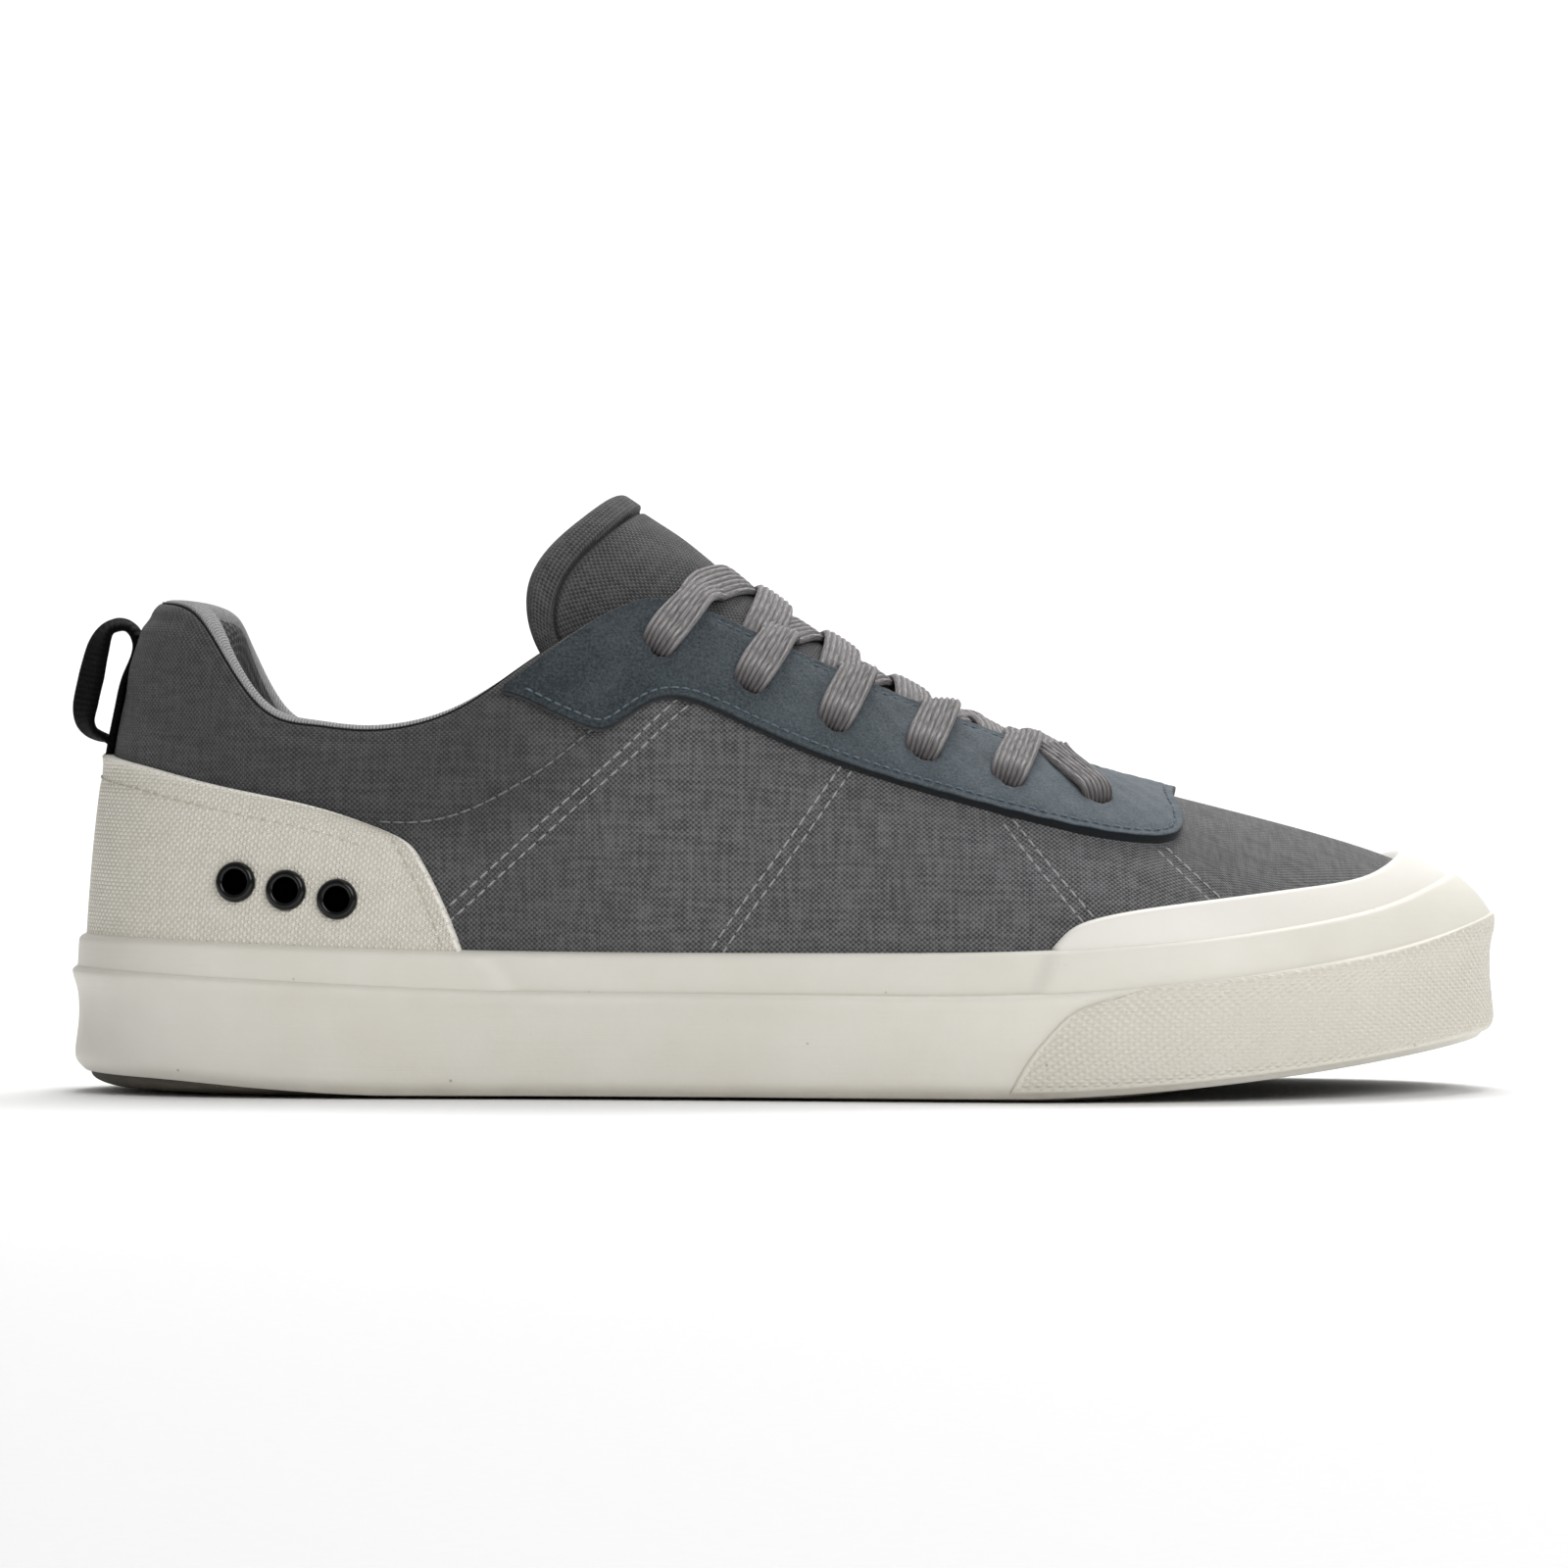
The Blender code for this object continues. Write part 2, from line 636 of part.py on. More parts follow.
def add_outsole():
    """The sole block, with toe spring, arch and cross grooves for the main lugs."""
    sole = sole_plate(
        "outsole", BAND_THICKNESS + GAP,
        lambda along, across: lift(along) + arch(along),
        lambda along, across: SOLE_BLOCK + lift(along), RUBBER)
    forefoot = FOREFOOT_GROOVES_START + GROOVE_PITCH * np.arange(FOREFOOT_GROOVES)
    heel = HEEL_GROOVES_START + GROOVE_PITCH * np.arange(HEEL_GROOVES)
    for number, along in enumerate([*heel, *forefoot]):
        outer, inner = outline_width(along)
        bpy.ops.mesh.primitive_cube_add(size=1)
        cutter = bpy.context.active_object
        cutter.name = f"groove_cutter_{number + 1}"
        for home in cutter.users_collection:
            home.objects.unlink(cutter)
        collection("cutters").objects.link(cutter)
        length = inner - outer - 2 * GROOVE_MARGIN
        cutter.scale = Vector((GROOVE_WIDTH, length, 2 * GROOVE_DEPTH)) * METRES
        bottom = float(lift(along) + arch(along))
        cutter.location = Vector((along, (inner + outer) / 2, bottom)) * METRES
        boolean(sole, cutter, "DIFFERENCE")
    return sole


def band_face(ring, share, out):
    """A point off the foxing band's side at a share of its height."""
    ring, share = np.broadcast_arrays(np.asarray(ring, float), np.asarray(share, float))
    side = table_curve(BAND_SIDE, "share", "out")
    plan = outline_at(ring, side(share) + out)
    along = outline(ring)[..., 0]
    low = BAND_FLOOR_GAP + lift(along)
    return upright(plan, low + share * (ridge_height(along) - low))


def add_foxing_band():
    """The wide lower band of rubber round the sole."""
    loops = []
    shares = column(BAND_SIDE, "share")
    for ring in whole_ring():
        face = band_face(ring, shares, 0.0)
        back = upright(outline_at(np.full(2, ring), np.full(2, -BAND_THICKNESS)), face[[-1, 0], 2])
        loops.append(np.concatenate([face, back]))
    return loft("foxing_band", loops, RUBBER, closed=True)


def add_toe_bumper():
    """The textured strip on the band round the toe, with slanted ends."""
    start = table_curve(TOE_BUMPER, "height_share", "start")
    shares = column(BAND_SIDE, "share")[1:-1]
    loops = []
    for step in np.linspace(-1, 1, BUMPER_STATIONS):
        first = start(shares)
        reach = 1 - abs(step) * (1 - first)
        ring = np.where(step < 0, reach / 2, 1 - reach / 2)
        under = band_face(ring, shares, OVERLAY_GAP)
        over = band_face(ring, shares, OVERLAY_GAP + BUMPER_THICKNESS)
        loops.append(np.concatenate([under, over[::-1]]))
    return loft("toe_bumper", loops, RUBBER)


def wall_patch(ring, low, high, rows, thickness):
    """The loop of an overlay on the wall at one place, between two climbs."""
    climb = low + (high - low) * np.linspace(0, 1, rows)
    under = skin(ring, climb, np.full(rows, OVERLAY_GAP))
    over = skin(ring, climb, np.full(rows, OVERLAY_GAP + thickness))
    return np.concatenate([under, over[::-1]])


def strip_top_climb(ring, above):
    """The climb a little above the top of the foxing strip."""
    return climb_at_height(ring, float(strip_height(outline(ring)[0])) + above)


def add_foxing_strip():
    """The narrow strip of rubber round the foot of the upper, above the band."""
    loops = []
    for ring in whole_ring():
        along = outline(ring)[0]
        low = climb_at_height(ring, float(ridge_height(along)) + GAP)
        high = climb_at_height(ring, float(strip_height(along)))
        loops.append(wall_patch(ring, low, high, STRIP_ROWS, STRIP_THICKNESS))
    return loft("foxing_strip", loops, RUBBER, closed=True)


def add_toe_cap():
    """The smooth rubber cap on the toe of the upper, down to the strip."""
    rise = table_curve(TOE_CAP, "share", "rise")
    loops = []
    for ring in toe_ring(TOE_CAP[0].share, CAP_STATIONS):
        share = 2 * min(ring, 1 - ring)
        low = strip_top_climb(ring, GAP)
        high = strip_top_climb(ring, GAP + float(rise(share)))
        loops.append(wall_patch(ring, low, high, CAP_ROWS, CAP_THICKNESS))
    return loft("toe_cap", loops, RUBBER)


def add_heel_counter():
    """The panel round the heel, with a falling top line and slanted front edges."""
    front = table_curve(COUNTER_FRONT, "height_share", "end")
    top = table_curve(COUNTER_TOP, "length_share", "height")
    shares = np.linspace(0, 1, COUNTER_ROWS)
    loops = []
    for step in np.linspace(-1, 1, COUNTER_STATIONS):
        under = []
        over = []
        for share in shares:
            ring = np.mod(step * front(share) / 2, 1.0)
            foot = float(strip_height(outline(ring)[0])) + GAP
            climb = climb_at_height(ring, foot + share * (float(top(abs(step))) - foot))
            under.append(skin(ring, climb, OVERLAY_GAP))
            over.append(skin(ring, climb, OVERLAY_GAP + OVERLAY_THICKNESS))
        loops.append(np.array(under + over[::-1]))
    return loft("heel_counter", loops, COUNTER)


def eyelet(number, inner_side):
    """Ring and climb of a lace hole, counted from the toe."""
    share = EYELET_SHARES[number]
    ring = 1 - share / 2 if inner_side else share / 2
    return ring, climb_below_edge(ring, EYELET_DEPTH)


def add_lace_holes(upper, eyestay):
    """Punches the lace holes through the eyestay and the upper behind it."""
    for number in range(len(EYELET_SHARES)):
        for inner_side in (False, True):
            ring, climb = eyelet(number, inner_side)
            side = "inner" if inner_side else "outer"
            cutter = drill(
                f"lace_hole_cutter_{side}_{number + 1}", wall(ring, climb), wall_out(ring, climb),
                LACE_HOLE_RADIUS, LACE_HOLE_LENGTH)
            boolean(upper, cutter, "DIFFERENCE")
            boolean(eyestay, cutter, "DIFFERENCE")


def add_upper():
    """The hollow canvas shell, open below and along the collar and throat."""
    outer_climbs = np.linspace(0, 1, OUTER_ROWS)
    inner_climbs = np.linspace(1, 0, INNER_ROWS)
    loops = []
    for ring in whole_ring():
        outer = wall(ring, outer_climbs)
        inner = skin(ring, inner_climbs, -pad_depth(ring, inner_climbs))
        half = (outer[-1] - inner[0]) / 2
        middle = (outer[-1] + inner[0]) / 2
        crown = wall_up(ring, 1.0) * np.linalg.norm(half)
        rim = [middle + math.cos(turn) * half + math.sin(turn) * crown
               for turn in np.radians(RIM_TURNS)]
        loops.append(np.concatenate([outer, rim, inner]))
    return loft("upper", loops, CANVAS, closed=True)


def add_eyestay():
    """The suede facing round the throat, from one end of the collar to the other."""
    drop = table_curve(EYESTAY, "share", "drop")
    even = shares_between(0, 1, STATIONS_A_SIDE)
    middle = even[(even > EYESTAY_BACK[1]) & (even < EYESTAY_CORNER[0])]
    shares = np.concatenate([
        np.linspace(*EYESTAY_BACK), middle, np.linspace(*EYESTAY_CORNER),
        even[even > EYESTAY_CORNER[1]]])
    rings = np.concatenate([shares / 2, 1 - shares[-2::-1] / 2])
    loops = []
    for ring in rings:
        share = 2 * min(ring, 1 - ring)
        edge = float(wall(ring, 1.0)[2])
        low = climb_at_height(ring, edge - float(drop(share)))
        high = climb_below_edge(ring, EDGE_MARGIN)
        loops.append(wall_patch(ring, low, high, STAY_ROWS, OVERLAY_THICKNESS))
    return loft("eyestay", loops, SUEDE)


def tongue_point(run, across_share, inwards):
    """A point of the tongue: along its run, round its section, and in from its upper face."""
    rows = np.column_stack([column(TONGUE, name) for name in TongueRow._fields[1:]])
    corner = np.clip((abs(across_share) - TONGUE_CORNER_START) / (1 - TONGUE_CORNER_START), 0, 1)
    end = 1 - TONGUE_CORNER_RECESS * (1 - math.sqrt(1 - corner ** 2))
    row = spline(np.linspace(0, 1, len(TONGUE)), rows)(run * end)
    along, height, tilt, half_width, depth, wrap, thickness = row
    turn = math.radians(wrap) * across_share
    inset = inwards * thickness * (1 - TONGUE_EDGE_THINNING * across_share ** 4)
    normal = np.array([math.sin(math.radians(tilt)), 0.0, math.cos(math.radians(tilt))])
    fall = depth - (depth - inset) * math.cos(turn)
    across = (half_width - inset) * math.sin(turn)
    return np.array([along, throat_centre(along) + across, height]) - fall * normal


def add_tongue():
    """The padded tongue under the lacing."""
    across = np.sin(np.linspace(-1, 1, TONGUE_COLUMNS) * math.pi / 2)
    loops = []
    for run in np.linspace(0, 1, TONGUE_STATIONS):
        over = [tongue_point(run, share, 0.0) for share in across]
        under = [tongue_point(run, share, 1.0) for share in across[::-1]]
        loops.append(np.array(over + under))
    return loft("tongue", loops, CANVAS)


def add_insole():
    """The footbed, with its sides turned up a little."""
    def over(along, across):
        cup = INSOLE_CUP * np.abs(2 * across - 1) ** 3
        return SOLE_BLOCK + GAP + INSOLE_THICKNESS + lift(along) + cup

    return sole_plate(
        "insole", BAND_THICKNESS + OVERLAY_GAP + INSOLE_INSET,
        lambda along, across: SOLE_BLOCK + GAP + lift(along), over, FOAM)


def strap_loops(path, normals, width, thickness, fineness):
    """Loops of a flat strap along a smooth path, with the way its face looks at each point."""
    knots = np.linspace(0, 1, len(path))
    at = np.linspace(0, 1, fineness)
    points = spline(knots, path)(at)
    faces = unit(spline(knots, normals)(at))
    runs = unit(np.gradient(points, axis=0))
    sides = unit(np.cross(runs, faces))
    faces = np.cross(sides, runs)
    corners = ((-1, -1), (1, -1), (1, 1), (-1, 1))
    return [
        [point + a * side * width / 2 + b * face * thickness / 2 for a, b in corners]
        for point, side, face in zip(points, sides, faces)
    ]


def lace_strand(number, inner_side, lower):
    """A strand of a crossing, from its eyelet over the throat edge and the tongue's crest."""
    sign = 1 if inner_side else -1
    row = LACE_CRESTS[number]
    cover = OVERLAY_GAP + OVERLAY_THICKNESS + LACE_CLEARANCE + LACE_THICKNESS / 2

    def over_edge(ring):
        out = unit(wall_out(ring, 1.0) + wall_up(ring, 1.0))
        return wall(ring, 1.0) + out * (cover + row.edge_rise), out

    ring, climb = eyelet(number + 1, inner_side)
    edge, edge_out = over_edge(ring - sign * LACE_EDGE_LEAD)
    crest = np.array([row.along, throat_centre(row.along), row.height - lower])
    crest_face = np.array([math.sin(math.radians(row.tilt)), 0.0, math.cos(math.radians(row.tilt))])
    path = [skin(ring, climb, cover), edge, crest]
    faces = [wall_out(ring, climb), edge_out, crest_face]
    if number == 0:
        far_ring, far_climb = eyelet(0, not inner_side)
        far_edge, far_out = over_edge(far_ring + sign * LACE_FAR_LEAD)
        path += [far_edge, skin(far_ring, far_climb, cover + LACE_FAR_RISE)]
        faces += [far_out, wall_out(far_ring, far_climb)]
    else:
        path.append(crest + (LACE_TAIL_ALONG, -sign * LACE_TAIL_ACROSS, -LACE_TAIL_FALL))
        faces.append(crest_face)
    return strap_loops(np.array(path), np.array(faces), LACE_WIDTH, LACE_THICKNESS, LACE_STATIONS)


def add_lace_cross(number):
    """One crossing of the lace: two strands joined where they lie on each other."""
    name = f"lace_cross_{number + 1}"
    under = loft(name, lace_strand(number, True, LACE_THICKNESS - LACE_FUSE), LACE)
    mesh = loft_mesh(f"{name}_over", lace_strand(number, False, 0.0), False)
    over = add_object(f"{name}_over", mesh, LACE, "cutters")
    boolean(under, over, "UNION")
    return under


def add_vent_eyelets(upper, counter):
    """Black turned eyelets through the counter on the outer side, and the holes they sit in."""
    rings = np.linspace(0, VENT_RING_END, SEARCH_STEPS)
    for number, (along, height) in enumerate(VENT_PLACES):
        climbs = [climb_at_height(ring, height) for ring in rings]
        ring = rings[np.argmin(np.abs(wall(rings, climbs)[:, 0] - along))]
        climb = climb_at_height(ring, height)
        centre = skin(ring, climb, OVERLAY_GAP + OVERLAY_THICKNESS)
        axis = wall_out(ring, climb)
        cutter = drill(
            f"vent_cutter_{number + 1}", centre, axis, VENT_BARREL_RADIUS + GAP, VENT_HOLE_LENGTH)
        boolean(counter, cutter, "DIFFERENCE")
        boolean(upper, cutter, "DIFFERENCE")
        mesh = bpy.data.meshes.new(f"vent_eyelet_{number + 1}")
        points = [Vector((row.radius, 0, row.out)) * METRES for row in VENT_EYELET]
        edges = [(i, (i + 1) % len(points)) for i in range(len(points))]
        mesh.from_pydata(points, edges, [])
        ring_piece = add_object(f"vent_eyelet_{number + 1}", mesh, ENAMEL)
        turn = ring_piece.modifiers.new("turned", "SCREW")
        turn.steps = VENT_STEPS
        turn.render_steps = VENT_STEPS
        turn.use_merge_vertices = True
        turn.merge_threshold = MERGE_DISTANCE
        turn.use_normal_calculate = True
        facing = Vector((0, 0, 1)).rotation_difference(Vector(axis))
        ring_piece.matrix_world = (
            Matrix.Translation(Vector(centre) * METRES) @ facing.to_matrix().to_4x4())


def add_pull_loop():
    """The webbing loop on the heel: its outer leg, crown and the leg that lies on the heel."""
    stand_off = OVERLAY_GAP + LOOP_THICKNESS / 2
    path = [[row.along, 0.0, row.height] for row in PULL_LOOP]
    for height in np.linspace(LOOP_INNER_TOP, LOOP_INNER_FOOT, LOOP_INNER_POINTS):
        path.append(skin(0.0, climb_at_height(0.0, height), stand_off))
    path = np.array(path, float)
    runs = unit(np.gradient(path, axis=0))
    faces = np.cross(runs, np.array([0.0, 1.0, 0.0]))
    loops = strap_loops(path, faces, LOOP_WIDTH, LOOP_THICKNESS, LOOP_STATIONS)
    return loft("pull_loop", loops, WEBBING)


def main():
    """Builds the shoe from the floor up."""
    for old in list(bpy.data.objects):
        bpy.data.objects.remove(old, do_unlink=True)
    add_outsole()
    add_foxing_band()
    add_foxing_strip()
    add_toe_bumper()
    add_toe_cap()
    upper = add_upper()
    counter = add_heel_counter()
    eyestay = add_eyestay()
    add_lace_holes(upper, eyestay)
    add_vent_eyelets(upper, counter)
    add_tongue()
    add_insole()
    for number in range(len(LACE_CRESTS)):
        add_lace_cross(number)
    add_pull_loop()


main()
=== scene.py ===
"""Dressed model of a low canvas skate sneaker for the right foot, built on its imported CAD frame.

Lengths are in millimetres until a mesh is made, and metres from there. +X runs to the toe, +Y to the
inner side of the foot and +Z up. A place on the shoe is given by ring and climb. Ring runs once round
the foot, from the heel back (0) along the outer side to the toe tip (0.5) and home along the inner
side. Share is the way from the heel (0) to the toe (1) on either side. Climb runs up the wall of the
upper, from the sole (0) to the edge of the collar and throat (1).
"""
import logging
import math
from dataclasses import dataclass, field
from enum import Enum
from functools import partial
from typing import Any, Callable, NamedTuple, Sequence

import bmesh
import bpy
import numpy as np
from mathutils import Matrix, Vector


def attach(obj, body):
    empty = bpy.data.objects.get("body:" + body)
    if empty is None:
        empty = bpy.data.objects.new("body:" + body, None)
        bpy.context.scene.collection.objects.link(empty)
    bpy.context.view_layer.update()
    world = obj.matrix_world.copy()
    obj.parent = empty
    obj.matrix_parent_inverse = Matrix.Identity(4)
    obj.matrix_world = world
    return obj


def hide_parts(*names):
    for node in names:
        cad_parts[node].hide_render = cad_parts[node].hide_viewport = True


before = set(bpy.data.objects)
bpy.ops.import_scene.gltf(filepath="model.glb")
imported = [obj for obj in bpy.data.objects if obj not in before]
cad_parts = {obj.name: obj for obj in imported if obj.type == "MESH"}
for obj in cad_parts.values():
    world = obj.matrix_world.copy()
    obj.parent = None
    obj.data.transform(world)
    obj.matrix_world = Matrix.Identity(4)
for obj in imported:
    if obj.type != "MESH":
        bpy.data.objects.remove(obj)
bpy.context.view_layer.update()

log = logging.getLogger("sneaker")

Array = np.ndarray
Piece = bpy.types.Object
Tree = bpy.types.NodeTree
Socket = bpy.types.NodeSocket
Put = Callable[..., Socket]
METRES = 0.001
BODY = "root"
TINY = 1e-4
UP = np.array([0.0, 0.0, 1.0])
FAR = 1e6


class Side(Enum):
    """The two sides of the foot, with the sign of Y on each."""

    OUTER = -1
    INNER = 1


class SectionRow(NamedTuple):
    """A section of the upper: its edge point, and the handles of its curve."""

    share: float
    along: float
    across: float
    height: float
    lean: float
    rise: float
    reach: float
    slope: float
    pad: float
    inner_lift: float


class SideRow(NamedTuple):
    """Heights of the two lines along the sole's side."""

    along: float
    ridge: float
    strip_top: float


class TongueRow(NamedTuple):
    """A section of the tongue: part of an ellipse, tilted with the instep."""

    along: float
    height: float
    tilt: float
    half_width: float
    depth: float
    wrap: float
    thickness: float


class LoopRow(NamedTuple):
    """A point of the pull loop seen from the side, and how far the webbing is twisted there."""

    along: float
    height: float
    twist: float


class Crease(NamedTuple):
    """A soft trough (minus) or ridge (plus) between two places on the wall."""

    share_a: float
    climb_a: float
    share_b: float
    climb_b: float
    width: float
    depth: float


# The foxing band's outline in plan, along and across: from the heel's back along the outer side.
OUTLINE = (
    (-149.0, 0.0), (-138.5, -24.0), (-112.0, -36.5), (-70.0, -40.0), (-25.0, -44.0), (20.0, -50.5),
    (60.0, -54.2), (99.0, -47.5), (130.5, -26.5), (147.7, 7.0), (135.5, 37.5), (107.0, 51.5),
    (70.0, 54.2), (30.0, 47.5), (-18.0, 38.5), (-65.0, 36.0), (-112.0, 35.5), (-138.5, 24.0),
)
TOE_TIP_ROW = 9

SECTIONS = tuple(SectionRow(*row) for row in (
    (0.000, -133.0, 0.0, 99.2, 2.0, 58.0, 12.0, 70.0, 8.0, 0.0),
    (0.045, -130.0, -11.5, 98.8, 2.0, 56.0, 12.0, 72.0, 7.6, 0.4),
    (0.080, -123.6, -19.0, 97.0, 2.5, 52.0, 12.0, 74.0, 7.0, 1.0),
    (0.115, -117.0, -24.2, 89.2, 3.0, 47.0, 12.0, 75.0, 6.4, 3.2),
    (0.155, -108.0, -27.8, 77.8, 3.0, 42.0, 13.0, 76.0, 5.8, -0.6),
    (0.200, -97.0, -30.0, 74.4, 3.0, 40.0, 14.0, 76.0, 5.2, -0.4),
    (0.250, -83.5, -31.0, 73.4, 3.0, 40.0, 15.0, 76.0, 5.0, 0.0),
    (0.292, -69.5, -31.5, 76.6, 3.0, 40.0, 16.0, 74.0, 4.6, 0.0),
    (0.330, -57.5, -31.0, 84.0, 3.0, 42.0, 18.0, 71.0, 3.0, 0.0),
    (0.365, -47.0, -29.0, 91.8, 3.0, 44.0, 21.0, 66.0, 1.2, 0.0),
    (0.400, -36.5, -26.2, 98.6, 3.0, 46.0, 24.0, 60.0, 0.3, 0.0),
    (0.430, -28.0, -23.8, 101.4, 3.0, 46.0, 25.0, 57.0, 0.0, 0.0),
    (0.460, -19.5, -22.3, 99.8, 3.0, 46.0, 25.0, 55.0, 0.0, 0.0),
    (0.505, -7.0, -21.4, 94.2, 3.0, 44.0, 24.0, 52.0, 0.0, 0.0),
    (0.620, 22.0, -19.6, 81.4, 3.0, 38.0, 22.0, 45.0, 0.0, 0.0),
    (0.740, 47.0, -16.6, 71.6, 2.0, 29.0, 26.0, 33.0, 0.0, 0.0),
    (0.840, 60.5, -12.0, 66.9, 1.0, 23.0, 42.0, 23.0, 0.0, 0.0),
    (0.930, 66.0, -5.6, 65.3, 0.0, 22.0, 62.0, 16.5, 0.0, 0.0),
    (1.000, 67.2, 0.0, 64.9, 0.0, 22.0, 72.0, 14.0, 0.0, 0.0),
))

SIDE_LINES = tuple(SideRow(*row) for row in (
    (-150.0, 26.4, 33.2), (-109.0, 24.4, 31.7), (-65.0, 22.4, 30.3), (0.0, 21.6, 29.9),
    (56.0, 22.2, 30.6), (90.0, 25.2, 32.8), (111.0, 28.1, 35.2), (130.0, 32.0, 38.6),
    (142.0, 35.6, 41.9), (149.0, 37.8, 43.8),
))

TONGUE = tuple(TongueRow(*row) for row in (
    (64.0, 61.2, 26.0, 30.0, 15.0, 28.0, 2.5), (55.0, 65.8, 26.0, 30.0, 17.0, 41.0, 3.0),
    (38.0, 74.8, 26.0, 30.0, 20.0, 57.0, 4.0), (21.5, 83.6, 28.5, 29.5, 24.5, 67.0, 5.0),
    (7.0, 93.0, 32.0, 29.0, 29.0, 75.0, 5.5), (-7.0, 102.6, 36.0, 27.0, 33.0, 81.0, 6.0),
    (-20.5, 113.8, 39.0, 25.0, 35.5, 93.0, 6.0), (-35.5, 124.4, 40.0, 24.0, 35.5, 100.0, 5.5),
))

# Places along the shoe of the lace's crossings, from the toe.
LACE_CRESTS = (55.0, 38.0, 21.5, 7.0, -7.0)

# Place along the shoe and height of each vent, the depth of its hollow, and where the hollow's edge
# begins and ends, from the vent's middle.
VENT_PLACES = ((-111.7, 43.9), (-101.6, 42.3), (-91.4, 40.5))
VENT_HOLLOW = 3.2
VENT_RIM = (2.6, 3.3)

PULL_LOOP = tuple(LoopRow(*row) for row in (
    (-141.8, 73.3, 0.0), (-144.8, 74.5, 9.0), (-146.9, 77.2, 26.0), (-146.9, 80.8, 34.0),
    (-145.6, 86.8, 35.0), (-144.2, 92.6, 30.0), (-141.2, 97.0, 13.0), (-137.6, 96.8, 4.0),
))


def unit(vectors: Array) -> Array:
    """Vectors made one long."""
    return vectors / np.linalg.norm(vectors, axis=-1, keepdims=True)


def ease(value: Array, start: float, end: float) -> Array:
    """A smooth step from 0 at start to 1 at end."""
    share = np.clip((np.asarray(value, float) - start) / (end - start), 0, 1)
    return share * share * (3 - 2 * share)


def bell(distance: Array, width: float) -> Array:
    """A soft bump that is 1 at no distance and fades over a width."""
    return np.exp(-((np.asarray(distance, float) / width) ** 2))


def round_edge(distance: Array, radius: float) -> Array:
    """Height of a quarter-round edge, from 0 at the edge to 1 a radius inside it."""
    left = 1 - np.clip(np.asarray(distance, float) / radius, 0, 1)
    return np.sqrt(1 - left * left)


def crowded(count: int, near: Sequence[float], length: float) -> Array:
    """Shares of a length with extra stations near both of its ends.

    Args:
        count: Stations spread evenly over the middle.
        near: Distances from either end that get a station, from 0 up.
        length: The length that the distances belong to.

    Returns:
        Rising shares from 0 to 1.
    """
    ends = np.asarray(near, float) / length
    middle = np.linspace(ends[-1], 1 - ends[-1], count)
    return np.concatenate([ends[:-1], middle, 1 - ends[-2::-1]])


def travel(points: Array, axis: int = 0) -> Array:
    """Distance gone along one axis of a grid of points, from 0 at its start."""
    steps = np.linalg.norm(np.diff(points, axis=axis), axis=-1)
    return np.concatenate([np.zeros_like(steps.take([0], axis)), np.cumsum(steps, axis=axis)], axis=axis)


def raised(plan: Array, height: Array) -> Array:
    """Places in plan as points with a height."""
    return np.concatenate([plan, height[..., None]], axis=-1)


def wrapped(face: Array, back: Array) -> Array:
    """Loops that go up the rows of a face and home down those of its back."""
    return np.concatenate([face, back[:, ::-1]], axis=1)


def on_cloth(along: Array, across: Array) -> Array:
    """Places on a flat cloth as points."""
    return np.stack([along, across, np.zeros_like(across)], axis=-1)


class Spline:
    """A natural cubic spline through the rows of a table."""

    def __init__(self, knots: Sequence[float], values: Any) -> None:
        """Solves for the bend at each knot.

        Args:
            knots: Rising places of the rows.
            values: One value, or one row of values, for each knot.
        """
        self.knots = np.asarray(knots, float)
        self.values = np.asarray(values, float)
        self.steps = np.diff(self.knots)
        count = len(self.knots)
        system = np.eye(count)
        load = np.zeros_like(self.values)
        for i in range(1, count - 1):
            before, after = self.steps[i - 1], self.steps[i]
            system[i, i - 1:i + 2] = before, 2 * (before + after), after
            rise = (self.values[i + 1] - self.values[i]) / after
            load[i] = 6 * (rise - (self.values[i] - self.values[i - 1]) / before)
        self.bend = np.linalg.solve(system, load)

    def __call__(self, place: Any) -> Array:
        """The values at a place or at an array of places."""
        place = np.asarray(place, float)
        i = np.clip(np.searchsorted(self.knots, place, side="right") - 1, 0, len(self.knots) - 2)
        step = self.steps[i]
        left = (self.knots[i + 1] - place) / step
        right = (place - self.knots[i]) / step
        if self.values.ndim > 1:
            left, right, step = left[..., None], right[..., None], step[..., None]
        sag = (left ** 3 - left) * self.bend[i] + (right ** 3 - right) * self.bend[i + 1]
        return left * self.values[i] + right * self.values[i + 1] + sag * step ** 2 / 6


class RingSpline(Spline):
    """A spline round the foot, whose rows repeat every whole turn."""

    WRAP = 4

    def __init__(self, knots: Sequence[float], values: Any) -> None:
        """Repeats the last rows before the first and the first after the last."""
        knots = np.asarray(knots, float)
        values = np.asarray(values, float)
        n = self.WRAP
        turns = np.concatenate([knots[-n:] - 1, knots, knots[:n] + 1])
        super().__init__(turns, np.concatenate([values[-n:], values, values[:n]]))

    def __call__(self, place: Any) -> Array:
        """The values at a place on the ring."""
        return super().__call__(np.mod(place, 1.0))


def table_curve(rows: Sequence[NamedTuple], knot: str, name: str) -> Spline:
    """A column of a table as a smooth function of another column."""
    return Spline([getattr(row, knot) for row in rows], [getattr(row, name) for row in rows])


